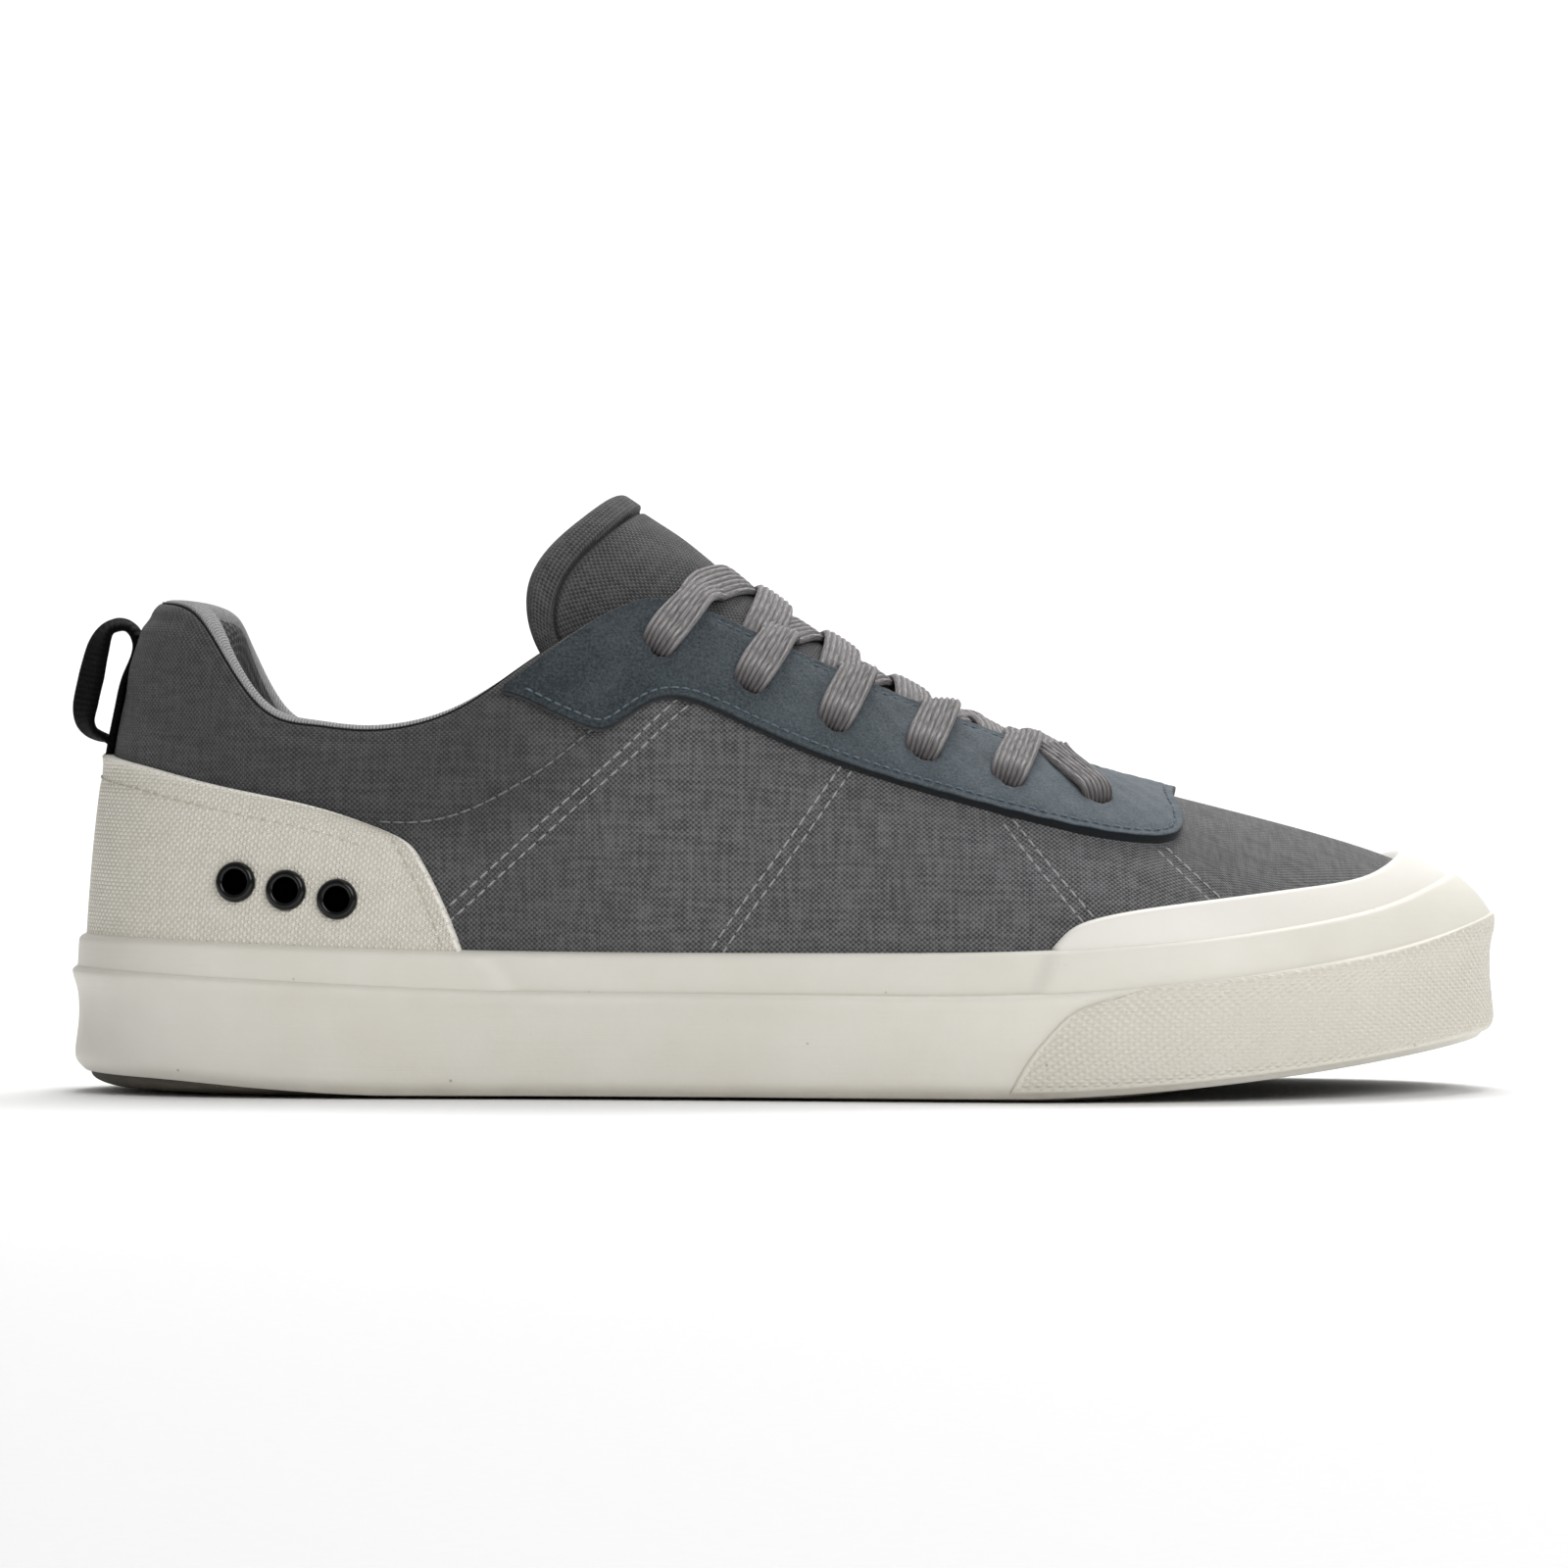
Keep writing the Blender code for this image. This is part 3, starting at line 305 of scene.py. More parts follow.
@dataclass
class Last:
    """The form of the shoe: the wall of the upper, and the outline of the sole under it."""

    band_thickness: float = 3.2
    sole_block: float = 14.0
    gap: float = 0.3
    overlay_gap: float = 0.4
    wall: float = 2.0
    pad_start: float = 0.45
    pad_full: float = 0.92
    throat_shift: float = 1.5
    throat_from: float = -30.0
    throat_to: float = 67.0
    spring_start: float = 48.0
    spring_height: float = 10.5
    spring_end: float = 147.5
    bevel_start: float = -108.0
    bevel_height: float = 1.2
    bevel_end: float = -149.0
    lift_power: float = 1.5
    arch_height: float = 1.0
    arch_centre: float = -28.0
    arch_half_length: float = 46.0
    trials: int = 101
    cloth_foot: float = 94.0
    outline: RingSpline = field(init=False)
    sections: RingSpline = field(init=False)
    ridge_line: Spline = field(init=False)
    strip_line: Spline = field(init=False)
    cloth_run: Spline = field(init=False)

    def __post_init__(self) -> None:
        """Makes the smooth curves from the tables."""
        points = np.array(OUTLINE)
        run = travel(np.concatenate([points, points[:1]]))
        outer = run[TOE_TIP_ROW]
        knots = np.where(run <= outer, run / outer, 1 + (run - outer) / (run[-1] - outer)) / 2
        self.outline = RingSpline(knots[:-1], points)
        rows = np.array(SECTIONS)
        inner = rows[-2:0:-1].copy()
        inner[:, 2] *= -1
        inner[:, 3] += inner[:, 9]
        ring = np.concatenate([rows[:, 0] / 2, 1 - inner[:, 0] / 2])
        self.sections = RingSpline(ring, np.concatenate([rows, inner])[:, 1:])
        self.ridge_line = table_curve(SIDE_LINES, "along", "ridge")
        self.strip_line = table_curve(SIDE_LINES, "along", "strip_top")
        shares = np.linspace(0, 0.5, 60)
        path = self.face(shares / 2, 0.6)
        back = travel(path[::-1])[::-1]
        self.cloth_run = Spline(shares, path[-1, 0] - back - path[:, 0])

    @staticmethod
    def ring(share: Any, side: Side) -> Array:
        """The ring place of a share on one side."""
        half = np.asarray(share, float) / 2
        return half if side is Side.OUTER else 1 - half

    @staticmethod
    def both(share: Array) -> Array:
        """Ring places of rising shares along the outer side, and home along the inner."""
        return np.concatenate([share / 2, 1 - share[-2::-1] / 2])

    @staticmethod
    def share(ring: Any) -> Array:
        """The share from heel to toe of a ring place."""
        turn = np.mod(ring, 1.0)
        return 2 * np.minimum(turn, 1 - turn)

    def lift(self, along: Array) -> Array:
        """Height of the sole's underside over the floor: toe spring and heel bevel."""
        toe = np.clip((along - self.spring_start) / (self.spring_end - self.spring_start), 0, None)
        heel = np.clip((along - self.bevel_start) / (self.bevel_end - self.bevel_start), 0, None)
        return self.spring_height * toe ** self.lift_power + self.bevel_height * heel ** self.lift_power

    def arch(self, along: Array) -> Array:
        """How far the waist of the sole is hollowed."""
        reach = np.clip(np.abs(along - self.arch_centre) / self.arch_half_length, 0, 1)
        return self.arch_height * np.cos(reach * math.pi / 2) ** 2

    def outline_at(self, ring: Array, out: Any) -> Array:
        """The outline moved outwards by a distance."""
        ring = np.asarray(ring, float)
        step = self.outline(ring + TINY) - self.outline(ring - TINY)
        away = unit(np.stack([step[..., 1], -step[..., 0]], axis=-1))
        return self.outline(ring) + away * np.asarray(out, float)[..., None]

    def throat_centre(self, along: Array) -> Array:
        """How far the middle of the throat lies to the inner side."""
        span = self.throat_to - self.throat_from
        return self.throat_shift * np.clip((along - self.throat_from) / span, 0, 1)

    def face(self, ring: Any, climb: Any) -> Array:
        """Points on the outer face of the upper.

        Args:
            ring: Ring places.
            climb: Climbs, of a shape that fits the ring places.

        Returns:
            Points, with their coordinates on the last axis.
        """
        ring, climb = np.broadcast_arrays(np.asarray(ring, float), np.asarray(climb, float))
        along, across, height, lean, rise, reach, slope = np.moveaxis(self.sections(ring), -1, 0)[:7]
        edge = np.stack([along, across + self.throat_centre(along), height], axis=-1)
        plan = self.outline_at(ring, -self.band_thickness - self.overlay_gap)
        foot = raised(plan, self.sole_block + self.gap + self.lift(plan[..., 0]))
        away = foot - edge
        away[..., 2] = 0
        away = unit(away)
        tilt = np.radians(lean)[..., None]
        fall = np.radians(slope)[..., None]
        low = foot + rise[..., None] * (np.cos(tilt) * UP - np.sin(tilt) * away)
        high = edge + reach[..., None] * (np.cos(fall) * away - np.sin(fall) * UP)
        past = climb[..., None]
        left = 1 - past
        return left ** 3 * foot + 3 * left ** 2 * past * low + 3 * left * past ** 2 * high + past ** 3 * edge

    def up(self, ring: Array, climb: Array) -> Array:
        """Direction up the wall."""
        return unit(self.face(ring, np.asarray(climb) + TINY) - self.face(ring, np.asarray(climb) - TINY))

    def out(self, ring: Array, climb: Array) -> Array:
        """Direction straight out of the wall."""
        ring = np.asarray(ring, float)
        round_step = self.face(ring + TINY, climb) - self.face(ring - TINY, climb)
        return unit(np.cross(round_step, self.up(ring, climb)))

    def skin(self, ring: Any, climb: Any, off: Any) -> Array:
        """Points a distance off the outer face."""
        return self.face(ring, climb) + self.out(ring, climb) * np.asarray(off, float)[..., None]

    @staticmethod
    def _find(values: Array, target: Array) -> Array:
        """Where each row of rising values reaches its target, as a share of the row."""
        last = values.shape[-1] - 1
        i = np.clip((values < target[..., None]).sum(axis=-1), 1, last)
        low = np.take_along_axis(values, (i - 1)[..., None], -1)[..., 0]
        high = np.take_along_axis(values, i[..., None], -1)[..., 0]
        return np.clip((i - 1 + (target - low) / (high - low)) / last, 0, 1)

    def climb_at(self, ring: Any, height: Any) -> Array:
        """The climb where the wall reaches a height."""
        ring, height = np.broadcast_arrays(np.asarray(ring, float), np.asarray(height, float))
        trial = np.linspace(0, 1, self.trials)
        return self._find(self.face(ring[..., None], trial)[..., 2], height)

    def climbed(self, ring: Array) -> Array:
        """Distance up the wall at each trial climb."""
        return travel(self.face(ring[..., None], np.linspace(0, 1, self.trials)), ring.ndim)

    def climb_below_edge(self, ring: Any, distance: Any) -> Array:
        """The climb at a distance down the wall from its edge."""
        ring, distance = np.broadcast_arrays(np.asarray(ring, float), np.asarray(distance, float))
        run = self.climbed(ring)
        return self._find(run, run[..., -1] - distance)

    def climb_above(self, ring: Array, climb: Array, distance: Array) -> Array:
        """The climb at a distance up the wall from another climb."""
        trial = np.linspace(0, 1, self.trials)
        run = self.climbed(ring)
        start = np.array([np.interp(c, trial, row) for c, row in zip(climb, run)])
        return self._find(run, start + distance)

    def pad_depth(self, ring: Array, climb: Array) -> Array:
        """Thickness of the upper: its cloth, and the collar's foam near the edge."""
        pad = np.maximum(self.sections(ring)[..., 7], 0)
        return self.wall + pad * ease(climb, self.pad_start, self.pad_full)

    def vents(self) -> list[tuple[float, float]]:
        """Ring and climb of each vent in the heel's outer side."""
        rings = np.linspace(0, 0.2, 400)
        found = []
        for along, height in VENT_PLACES:
            climbs = self.climb_at(rings, height)
            pick = int(np.argmin(np.abs(self.face(rings, climbs)[:, 0] - along)))
            found.append((float(rings[pick]), float(climbs[pick])))
        return found

    def vent_hollow(self, points: Array) -> Array:
        """How far points lie inside a vent's hole, from 0 outside to 1 within."""
        inside = np.zeros(points.shape[:-1])
        for vent in self.vents():
            gap = np.linalg.norm(points - self.face(*vent), axis=-1)
            inside = np.maximum(inside, 1 - ease(gap, *VENT_RIM))
        return inside

    def ridge(self, ring: Array) -> Array:
        """Height of the foxing band's top."""
        return self.ridge_line(self.outline(ring)[..., 0])

    def strip_top(self, ring: Array) -> Array:
        """Height of the foxing strip's top."""
        return self.strip_line(self.outline(ring)[..., 0])

    def cloth(self, ring: Array, points: Array) -> Array:
        """Where each point of the wall lay on the flat cloth, in millimetres.

        Args:
            ring: Ring places, one for each column of points.
            points: Points by column and by row, the rows running up the wall.

        Returns:
            Flat places: along the shoe, and down from its middle line.
        """
        share = self.share(ring)
        along = points[..., 0] + np.where(share < 0.5, self.cloth_run(np.minimum(share, 0.5)), 0)[:, None]
        steps = np.diff(points, axis=1)
        rise = (1 - ease(share, 0.75, 0.95))[:, None] * steps[..., 2]
        length = np.hypot(steps[..., 1], rise)
        climbed = np.concatenate([np.zeros((len(ring), 1)), np.cumsum(length, axis=1)], axis=1)
        foot = np.abs(points[:, -1, 1]) + climbed[:, -1]
        foot = self.cloth_foot + (foot - self.cloth_foot) * ease(share, 0.66, 0.84)
        down = foot[:, None] - climbed
        return on_cloth(along, down)


def linear(code: str) -> tuple[float, float, float, float]:
    """An sRGB hex colour as linear red, green, blue and alpha."""
    parts = [int(code[i:i + 2], 16) / 255 for i in (0, 2, 4)]
    red, green, blue = (c / 12.92 if c <= 0.04045 else ((c + 0.055) / 1.055) ** 2.4 for c in parts)
    return red, green, blue, 1.0


def add(tree: Tree, kind: str, out: int | str, inputs: dict[int | str, Any], **settings: Any) -> Socket:
    """Adds a shader node with its settings, its socket values and its links.

    Args:
        tree: The node tree.
        kind: The node's type, without the words ShaderNode.
        out: The name or number of the output that is wanted.
        inputs: A value, or a socket to link from, by the name or number of each input.
        settings: The node's own properties.

    Returns:
        The output.
    """
    made = tree.nodes.new(f"ShaderNode{kind}")
    for name, value in settings.items():
        setattr(made, name, value)
    for key, value in inputs.items():
        if isinstance(value, Socket):
            tree.links.new(value, made.inputs[key])
        else:
            made.inputs[key].default_value = value
    return made.outputs[out]


MIX_A, MIX_B, MIX_OUT = 6, 7, 2
# A wave texture of scale 1 has this many whole waves to a unit.
WAVE_TURN = 20.0 / (2 * math.pi)


class Look(NamedTuple):
    """What a finish paints: its tone from dark to light, other shader values, stains and relief."""

    tone: Socket
    values: dict[str, Any]
    # Marks laid over the tone: real specks and dust, the suede's cut edge, and painted shade.
    stains_and_painted_shade: Sequence[tuple[Socket, str]] = ()
    height: Socket | None = None


@dataclass(frozen=True)
class Finish:
    """A surface: what it is made of, its colours, and how it takes the light."""

    name: str
    dark: str
    light: str
    roughness: float
    ior: float = 1.5
    depth: float = 0.0

    def material(self) -> bpy.types.Material:
        """The finish as a material, made once."""
        made = bpy.data.materials.get(self.name)
        if made is None:
            made = bpy.data.materials.new(self.name)
            made.use_nodes = True
            made.diffuse_color = linear(self.light)
            tree = made.node_tree
            tree.nodes.remove(tree.nodes["Principled BSDF"])
            put = partial(add, tree)
            look = self.paint(put)
            colour = linear(self.dark)
            for amount, tone in ((look.tone, self.light), *look.stains_and_painted_shade):
                colour = put("Mix", MIX_OUT, {0: amount, MIX_A: colour, MIX_B: linear(tone)},
                             data_type="RGBA")
            values = {"Base Color": colour, "Roughness": self.roughness, "IOR": self.ior, **look.values}
            if look.height is not None:
                values["Normal"] = put("Bump", 0, {"Height": look.height, "Distance": self.depth * METRES})
            shader = put("BsdfPrincipled", "BSDF", values)
            tree.links.new(shader, tree.nodes["Material Output"].inputs["Surface"])
        return made

    def paint(self, put: Put) -> Look:
        """Adds the finish's own nodes."""
        raise NotImplementedError

    @staticmethod
    def place(put: Put) -> Socket:
        """The place on the object in millimetres."""
        where = put("TexCoord", "Object", {})
        return put("VectorMath", 0, {0: where, "Scale": 1 / METRES}, operation="SCALE")


@dataclass(frozen=True)
class Woven(Finish):
    """A plain weave: round threads that pass over and under each other.

    The eye sees staggered pale crowns where one set of threads comes over the other, dark gaps
    between them, a slight change of tone from thread to thread, and no gloss. Warp and weft are the
    lengths of a whole repeat, over and under. The colour for dark stitched joints is also laid as
    painted shade on the collar, above the heel counter, along the collar's stitching and in the
    tongue's hem groove.
    """

    warp: float = 1.1
    weft: float = 1.1
    depth: float = 0.25
    slub: float = 0.2
    sheen: float = 0.1
    plain_rim: bool = False
    sewn_and_painted_shade: str = ""
    wobble: float = 0.25

    def paint(self, put: Put) -> Look:
        """The threads, their tone and the relief."""
        flat = put("Attribute", "Vector", {}, attribute_name="cloth")
        swings, tones = [], []
        for way, pitch, stretch in (("X", self.warp, (0.12, 1 / self.weft, 1.0)),
                                    ("Y", self.weft, (1 / self.warp, 0.12, 1.0))):
            wave = put("TexWave", "Fac", {
                "Vector": flat, "Scale": 1 / (pitch * WAVE_TURN), "Distortion": self.wobble,
                "Detail": 1.0, "Detail Scale": 0.6 * pitch * WAVE_TURN}, bands_direction=way)
            swings.append(put("Math", 0, {0: wave, 1: 2.0, 2: -1.0}, operation="MULTIPLY_ADD"))
            run = put("VectorMath", 0, {0: flat, 1: stretch}, operation="MULTIPLY")
            tones.append(put("TexNoise", "Fac", {"Vector": run, "Scale": 1.0, "Detail": 1.0}))
        cross = put("Math", 0, dict(enumerate(swings)), operation="MULTIPLY")
        crown = put("MapRange", 0, {"Value": cross, "From Min": -0.75, "From Max": 0.75})
        bulge = put("Math", 0, {0: cross}, operation="ABSOLUTE")
        bulge = put("Math", 0, {0: bulge, 1: crown}, operation="ADD")
        tone = put("Math", 0, dict(enumerate(tones)), operation="ADD")
        tone = put("MapRange", 0, {"Value": tone, "From Min": 0.7, "From Max": 1.3,
                                   "To Min": -self.slub, "To Max": self.slub})
        lit = put("Math", 0, {0: crown, 1: tone}, operation="ADD", use_clamp=True)
        if self.plain_rim:
            rim = put("Attribute", "Fac", {}, attribute_name="rim")
            lit, bulge = (put("Math", 0, {0: value, 1: rim}, operation="MAXIMUM") for value in (lit, bulge))
        values = {"Sheen Weight": self.sheen, "Sheen Roughness": 0.6}
        # Painted shade and dark stitched joints, read from the field that the upper and tongue carry.
        stains_and_painted_shade = [(put("Attribute", "Fac", {}, attribute_name="seam_and_painted_shade"), self.sewn_and_painted_shade)] if self.sewn_and_painted_shade else []
        return Look(lit, values, stains_and_painted_shade, bulge)


@dataclass(frozen=True)
class Suede(Finish):
    """Split leather with a brushed nap.

    The eye sees soft cloudy patches where the nap lies one way or the other, a fine pile with no
    gloss, and a dark cut edge. Painted light makes the face paler towards the toe and darker towards
    the heel. The pile's fibres are finer than 0.15 mm, and are drawn coarser so that they show.
    """

    patch: float = 9.0
    pile: float = 0.55
    depth: float = 0.18
    edge: str = "11161a"

    def paint(self, put: Put) -> Look:
        """The nap's patches, its pile and the cut edge."""
        where = self.place(put)
        cloud, pile = (put("TexNoise", "Fac", {
            "Vector": where, "Scale": 1 / size, "Detail": 3.0, "Roughness": rough})
            for size, rough in ((self.patch, 0.6), (self.pile, 0.75)))
        tone = put("Math", 0, {0: cloud, 1: 0.3, 2: pile}, operation="MULTIPLY_ADD")
        tone = put("MapRange", 0, {"Value": tone, "From Min": 0.35, "From Max": 0.95})
        # Painted light: the face grows paler towards the toe and darker towards the heel.
        along = put("SeparateXYZ", "X", {0: where})
        painted_light_falloff = put("MapRange", 0, {"Value": along, "From Min": -60.0, "From Max": 80.0,
                                   "To Min": -0.42, "To Max": 0.3})
        tone = put("Math", 0, {0: tone, 1: painted_light_falloff}, operation="ADD", use_clamp=True)
        rim = put("Attribute", "Fac", {}, attribute_name="rim")
        values = {"Specular IOR Level": 0.15, "Sheen Weight": 0.25, "Sheen Roughness": 0.5}
        return Look(tone, values, [(rim, self.edge)], pile)


@dataclass(frozen=True)
class Rubber(Finish):
    """Vulcanised rubber from a calendered sheet.

    The eye sees an even off-white with a soft wide gloss, faint cloudiness, a few dark specks and a
    little dust along the floor. A streak follows the sheet, and a diamond is moulded in it.
    """

    cloud: float = 30.0
    speck: float = 4.0
    speck_tone: str = "6f675c"
    grain: float = 1.4
    depth: float = 0.05
    dust: str = "aea694"
    dust_height: float = 5.0
    streak: float = 0.0
    diamond: float = 0.0
    diamond_turn: float = 32.0

    def paint(self, put: Put) -> Look:
        """The clouds, specks, dust and grain, and the diamonds where there are any."""
        where = self.place(put)
        cloud = put("TexNoise", "Fac", {
            "Vector": where, "Scale": 1 / self.cloud, "Detail": 4.0, "Roughness": 0.6})
        cloud = put("MapRange", 0, {"Value": cloud, "From Min": 0.3, "From Max": 0.7})
        near = put("TexVoronoi", "Distance", {"Vector": where, "Scale": 1 / self.speck})
        spot = put("MapRange", 0, {"Value": near, "From Min": 0.05, "From Max": 0.10,
                                   "To Min": 1.0, "To Max": 0.0})
        pick = put("SeparateColor", 0, {0: near.node.outputs["Color"]})
        pick = put("Math", 0, {0: pick, 1: 0.93}, operation="GREATER_THAN")
        for share in (pick, 0.55):
            spot = put("Math", 0, {0: spot, 1: share}, operation="MULTIPLY")
        height = put("SeparateXYZ", "Z", {0: where})
        smear = put("TexNoise", "Fac", {"Vector": where, "Scale": 0.12, "Detail": 5.0, "Roughness": 0.7})
        low = put("MapRange", 0, {"Value": height, "From Min": 0.0, "From Max": self.dust_height,
                                  "To Min": 0.75, "To Max": 0.0}, interpolation_type="SMOOTHSTEP")
        low = put("Math", 0, {0: low, 1: smear}, operation="MULTIPLY")
        stains_and_painted_shade = [(spot, self.speck_tone), (low, self.dust)]
        grain = put("TexNoise", "Fac", {"Vector": where, "Scale": 1 / self.grain, "Detail": 3.0})
        if self.streak:
            size = (0.03, 0.03, 1 / self.streak)
            run = put("VectorMath", 0, {0: where, 1: size}, operation="MULTIPLY")
            lines = put("TexNoise", "Fac", {"Vector": run, "Scale": 1.0, "Detail": 3.0})
            grain = put("Math", 0, {0: grain, 1: lines}, operation="ADD")
        if self.diamond:
            grain = self.diamonds(put, grain)
            valley = put("MapRange", 0, {"Value": grain, "From Min": 0.05, "From Max": 0.55,
                                         "To Min": 0.32, "To Max": 0.0})
            stains_and_painted_shade.append((valley, self.dust))
        return Look(cloud, {}, stains_and_painted_shade, grain)

    def diamonds(self, put: Put, grain: Socket) -> Socket:
        """The height of rows of small diamonds on the grain, fading at the plain rim."""
        flat = put("Attribute", "Vector", {}, attribute_name="cloth")
        waves = []
        for turn in (math.radians(self.diamond_turn), math.radians(-self.diamond_turn)):
            slant = put("VectorRotate", 0, {"Vector": flat, "Angle": turn}, rotation_type="Z_AXIS")
            waves.append(put("TexWave", "Fac", {
                "Vector": slant, "Scale": 1 / (self.diamond * WAVE_TURN), "Distortion": 0.0},
                bands_direction="Y"))
        height = put("Math", 0, dict(enumerate(waves)), operation="MULTIPLY")
        rim = put("Attribute", "Fac", {}, attribute_name="rim")
        height = put("Math", 0, {0: height, 1: rim}, operation="MAXIMUM")
        grain = put("Math", 0, {0: grain, 1: 0.12}, operation="MULTIPLY")
        return put("Math", 0, {0: height, 1: grain}, operation="ADD")


@dataclass(frozen=True)
class Yarn(Finish):
    """Spun yarn, as in a lace, a knit, a webbing or a sewing thread.

    The eye sees short soft fibres and a heathered tone, with no gloss, ribs with dark valleys where it
    is braided or knitted, painted shade where a lace goes into a hole, and a dark stitched joint in the
    lining. Fibre and run are a fibre's width and length, drawn many times as coarse as real ones so
    that they show.
    """

    fibre: float = 0.5
    run: float = 4.0
    depth: float = 0.12
    rib: float = 0.0
    rib_way: str = "X"
    sheen: float = 0.1
    gloss: float = 0.2
    shade: str = ""

    def paint(self, put: Put) -> Look:
        """The fibres, and the ribs across them where there are any."""
        flat = put("Attribute", "Vector", {}, attribute_name="cloth")
        size = (1 / self.run, 1 / self.fibre, 1 / self.fibre)
        stretch = put("VectorMath", 0, {0: flat, 1: size}, operation="MULTIPLY")
        height = put("TexNoise", "Fac", {
            "Vector": stretch, "Scale": 1.0, "Detail": 3.0, "Roughness": 0.65})
        tone = put("MapRange", 0, {"Value": height, "From Min": 0.3, "From Max": 0.7})
        if self.rib:
            ribs = put("TexWave", "Fac", {
                "Vector": flat, "Scale": 1 / (self.rib * WAVE_TURN), "Distortion": 0.3,
                "Detail Scale": 2.0, "Phase Offset": math.pi}, bands_direction=self.rib_way)
            height = put("Math", 0, {0: height, 1: ribs}, operation="ADD")
            crest = put("MapRange", 0, {"Value": ribs, "From Min": 0.0, "From Max": 0.6, "To Min": 0.3})
            tone = put("Math", 0, {0: tone, 1: crest}, operation="MULTIPLY")
        values = {"Specular IOR Level": self.gloss, "Sheen Weight": self.sheen}
        # Painted shade by the lace holes, and the lining's dark stitched joint.
        stains_and_painted_shade = [(put("Attribute", "Fac", {}, attribute_name="seam_and_painted_shade"), self.shade)] if self.shade else []
        return Look(tone, values, stains_and_painted_shade, height)


@dataclass(frozen=True)
class Enamel(Finish):
    """Baked enamel on pressed steel.

    The eye sees deep black with a sharp wet gloss, a little uneven.
    """

    ripple: float = 1.5

    def paint(self, put: Put) -> Look:
        """A slight change of tone and gloss."""
        noise = put("TexNoise", "Fac", {"Vector": self.place(put), "Scale": 1 / self.ripple, "Detail": 2.0})
        rough = put("MapRange", 0, {
            "Value": noise, "To Min": self.roughness * 0.7, "To Max": self.roughness * 1.3})
        return Look(noise, {"Roughness": rough, "Specular IOR Level": 0.3, "Coat Weight": 0.15,
                            "Coat Roughness": 0.06})


@dataclass(frozen=True)
class Paper(Finish):
    """Seamless studio paper: an even matt white with a faint mottle."""

    fibre: float = 2.0

    def paint(self, put: Put) -> Look:
        """The paper's mottle."""
        noise = put("TexNoise", "Fac", {"Vector": self.place(put), "Scale": 1 / self.fibre})
        return Look(noise, {"Specular IOR Level": 0.0})


# Charcoal canvas of 0.55 mm threads, pale on their crowns: a salt-and-pepper grey, dull all over.
# Its darkest colour is also laid as painted shade on the collar, above the heel counter and along the
# collar's stitching.
CANVAS = Woven("plain_weave_cotton_canvas", "323234", "868688", 0.9, warp=1.15, weft=1.05, sewn_and_painted_shade="161617")
# The same canvas, but darker, over foam: an even, darker grey, with painted shade in the hem's groove.
TONGUE_CANVAS = Woven("padded_cotton_canvas", "222224", "636365", 0.9, warp=1.2, weft=1.15, sewn_and_painted_shade="121213")
# Thick bone-coloured weave under a clear coat: knobbly, with a faint gloss and a smooth rolled rim.
COUNTER_CLOTH = Woven("coated_coarse_weave", "cbc5b6", "f8f4ea", 0.62, warp=1.5, weft=1.6, depth=0.22,
                      slub=0.1, sheen=0.0, plain_rim=True, wobble=0.15)
# Pale grey knit round the collar: fine soft ribs.
LINING = Yarn("heathered_knit_lining", "858586", "c4c4c4", 0.95, fibre=0.45, run=0.6, depth=0.3, rib=0.7,
              shade="161617")
# Dark knit inside the shoe: square cells with deep gaps.
WAFFLE_LINING = Woven("waffle_knit_lining", "3c3c3d", "8c8c8c", 0.95, warp=2.0, weft=2.0, depth=0.5)
# Brushed knit glued on foam: a soft mid grey.
FOOTBED = Yarn("brushed_knit_footbed", "6d6d6e", "a8a8a8", 0.95, fibre=0.8, run=1.6, depth=0.25, rib=1.6)
# Blue-grey split leather, brushed: cloudy and without gloss, with painted light paler towards the toe.
SUEDE = Suede("brushed_split_suede", "2c3336", "636c73", 0.95)
# Flat cotton braid of seven ribs: heathered grey, dark in the valleys, with painted shade by the holes.
LACE = Yarn("flat_braided_cotton_lace", "5c595a", "b4b0b0", 0.92, fibre=0.35, run=2.2, depth=0.15, rib=1.143,
            rib_way="Y", shade="2b2324")
# Woven nylon tape: black, with a glint on its cross ribs.
WEBBING = Yarn("ribbed_nylon_webbing", "020202", "0a0a0a", 0.8, fibre=0.5, run=1.5, depth=0.25, rib=1.2,
               sheen=0.0, gloss=0.08)
# A black disc deep in each vent's bore: painted shade for the hole's dark inside, giving nothing back.
PAINTED_VENT_SHADOW = Yarn("painted_vent_shadow_black", "010101", "030303", 0.95, fibre=0.4, run=0.4, sheen=0.0, gloss=0.0)
# Spun polyester sewing threads: fine and dull, each in the tone of what it holds.
SEAM_THREAD = Yarn("pale_polyester_thread", "888889", "b0b0b1", 0.7, fibre=0.2, run=0.8, depth=0.08)
SUEDE_THREAD = Yarn("blue_grey_polyester_thread", "47545c", "727f87", 0.7, fibre=0.2, run=0.8, depth=0.08)
COLLAR_THREAD = Yarn("mid_grey_polyester_thread", "606062", "858587", 0.7, fibre=0.2, run=0.8, depth=0.08)
BONE_THREAD = Yarn("bone_polyester_thread", "b9b3a4", "d2cdc1", 0.7, fibre=0.2, run=0.8, depth=0.08)
# Thicker black thread that joins canvas and lining: a thin dark line.
CORD_THREAD = Yarn("black_polyester_thread", "060606", "101011", 0.8, fibre=0.2, run=0.8, depth=0.05)
# Calendered strip: warm white with fine lines along it.
RUBBER = Rubber("vulcanised_white_rubber", "ddd9ce", "e5e2d9", 0.5, ior=1.52, streak=0.9)
# The tread, painted dull brown-grey to stand in for the shadow under the sole.
PAINTED_SHADOW_TREAD = Rubber("painted_shadow_tread_rubber", "36332f", "45413b", 0.8, ior=1.52)
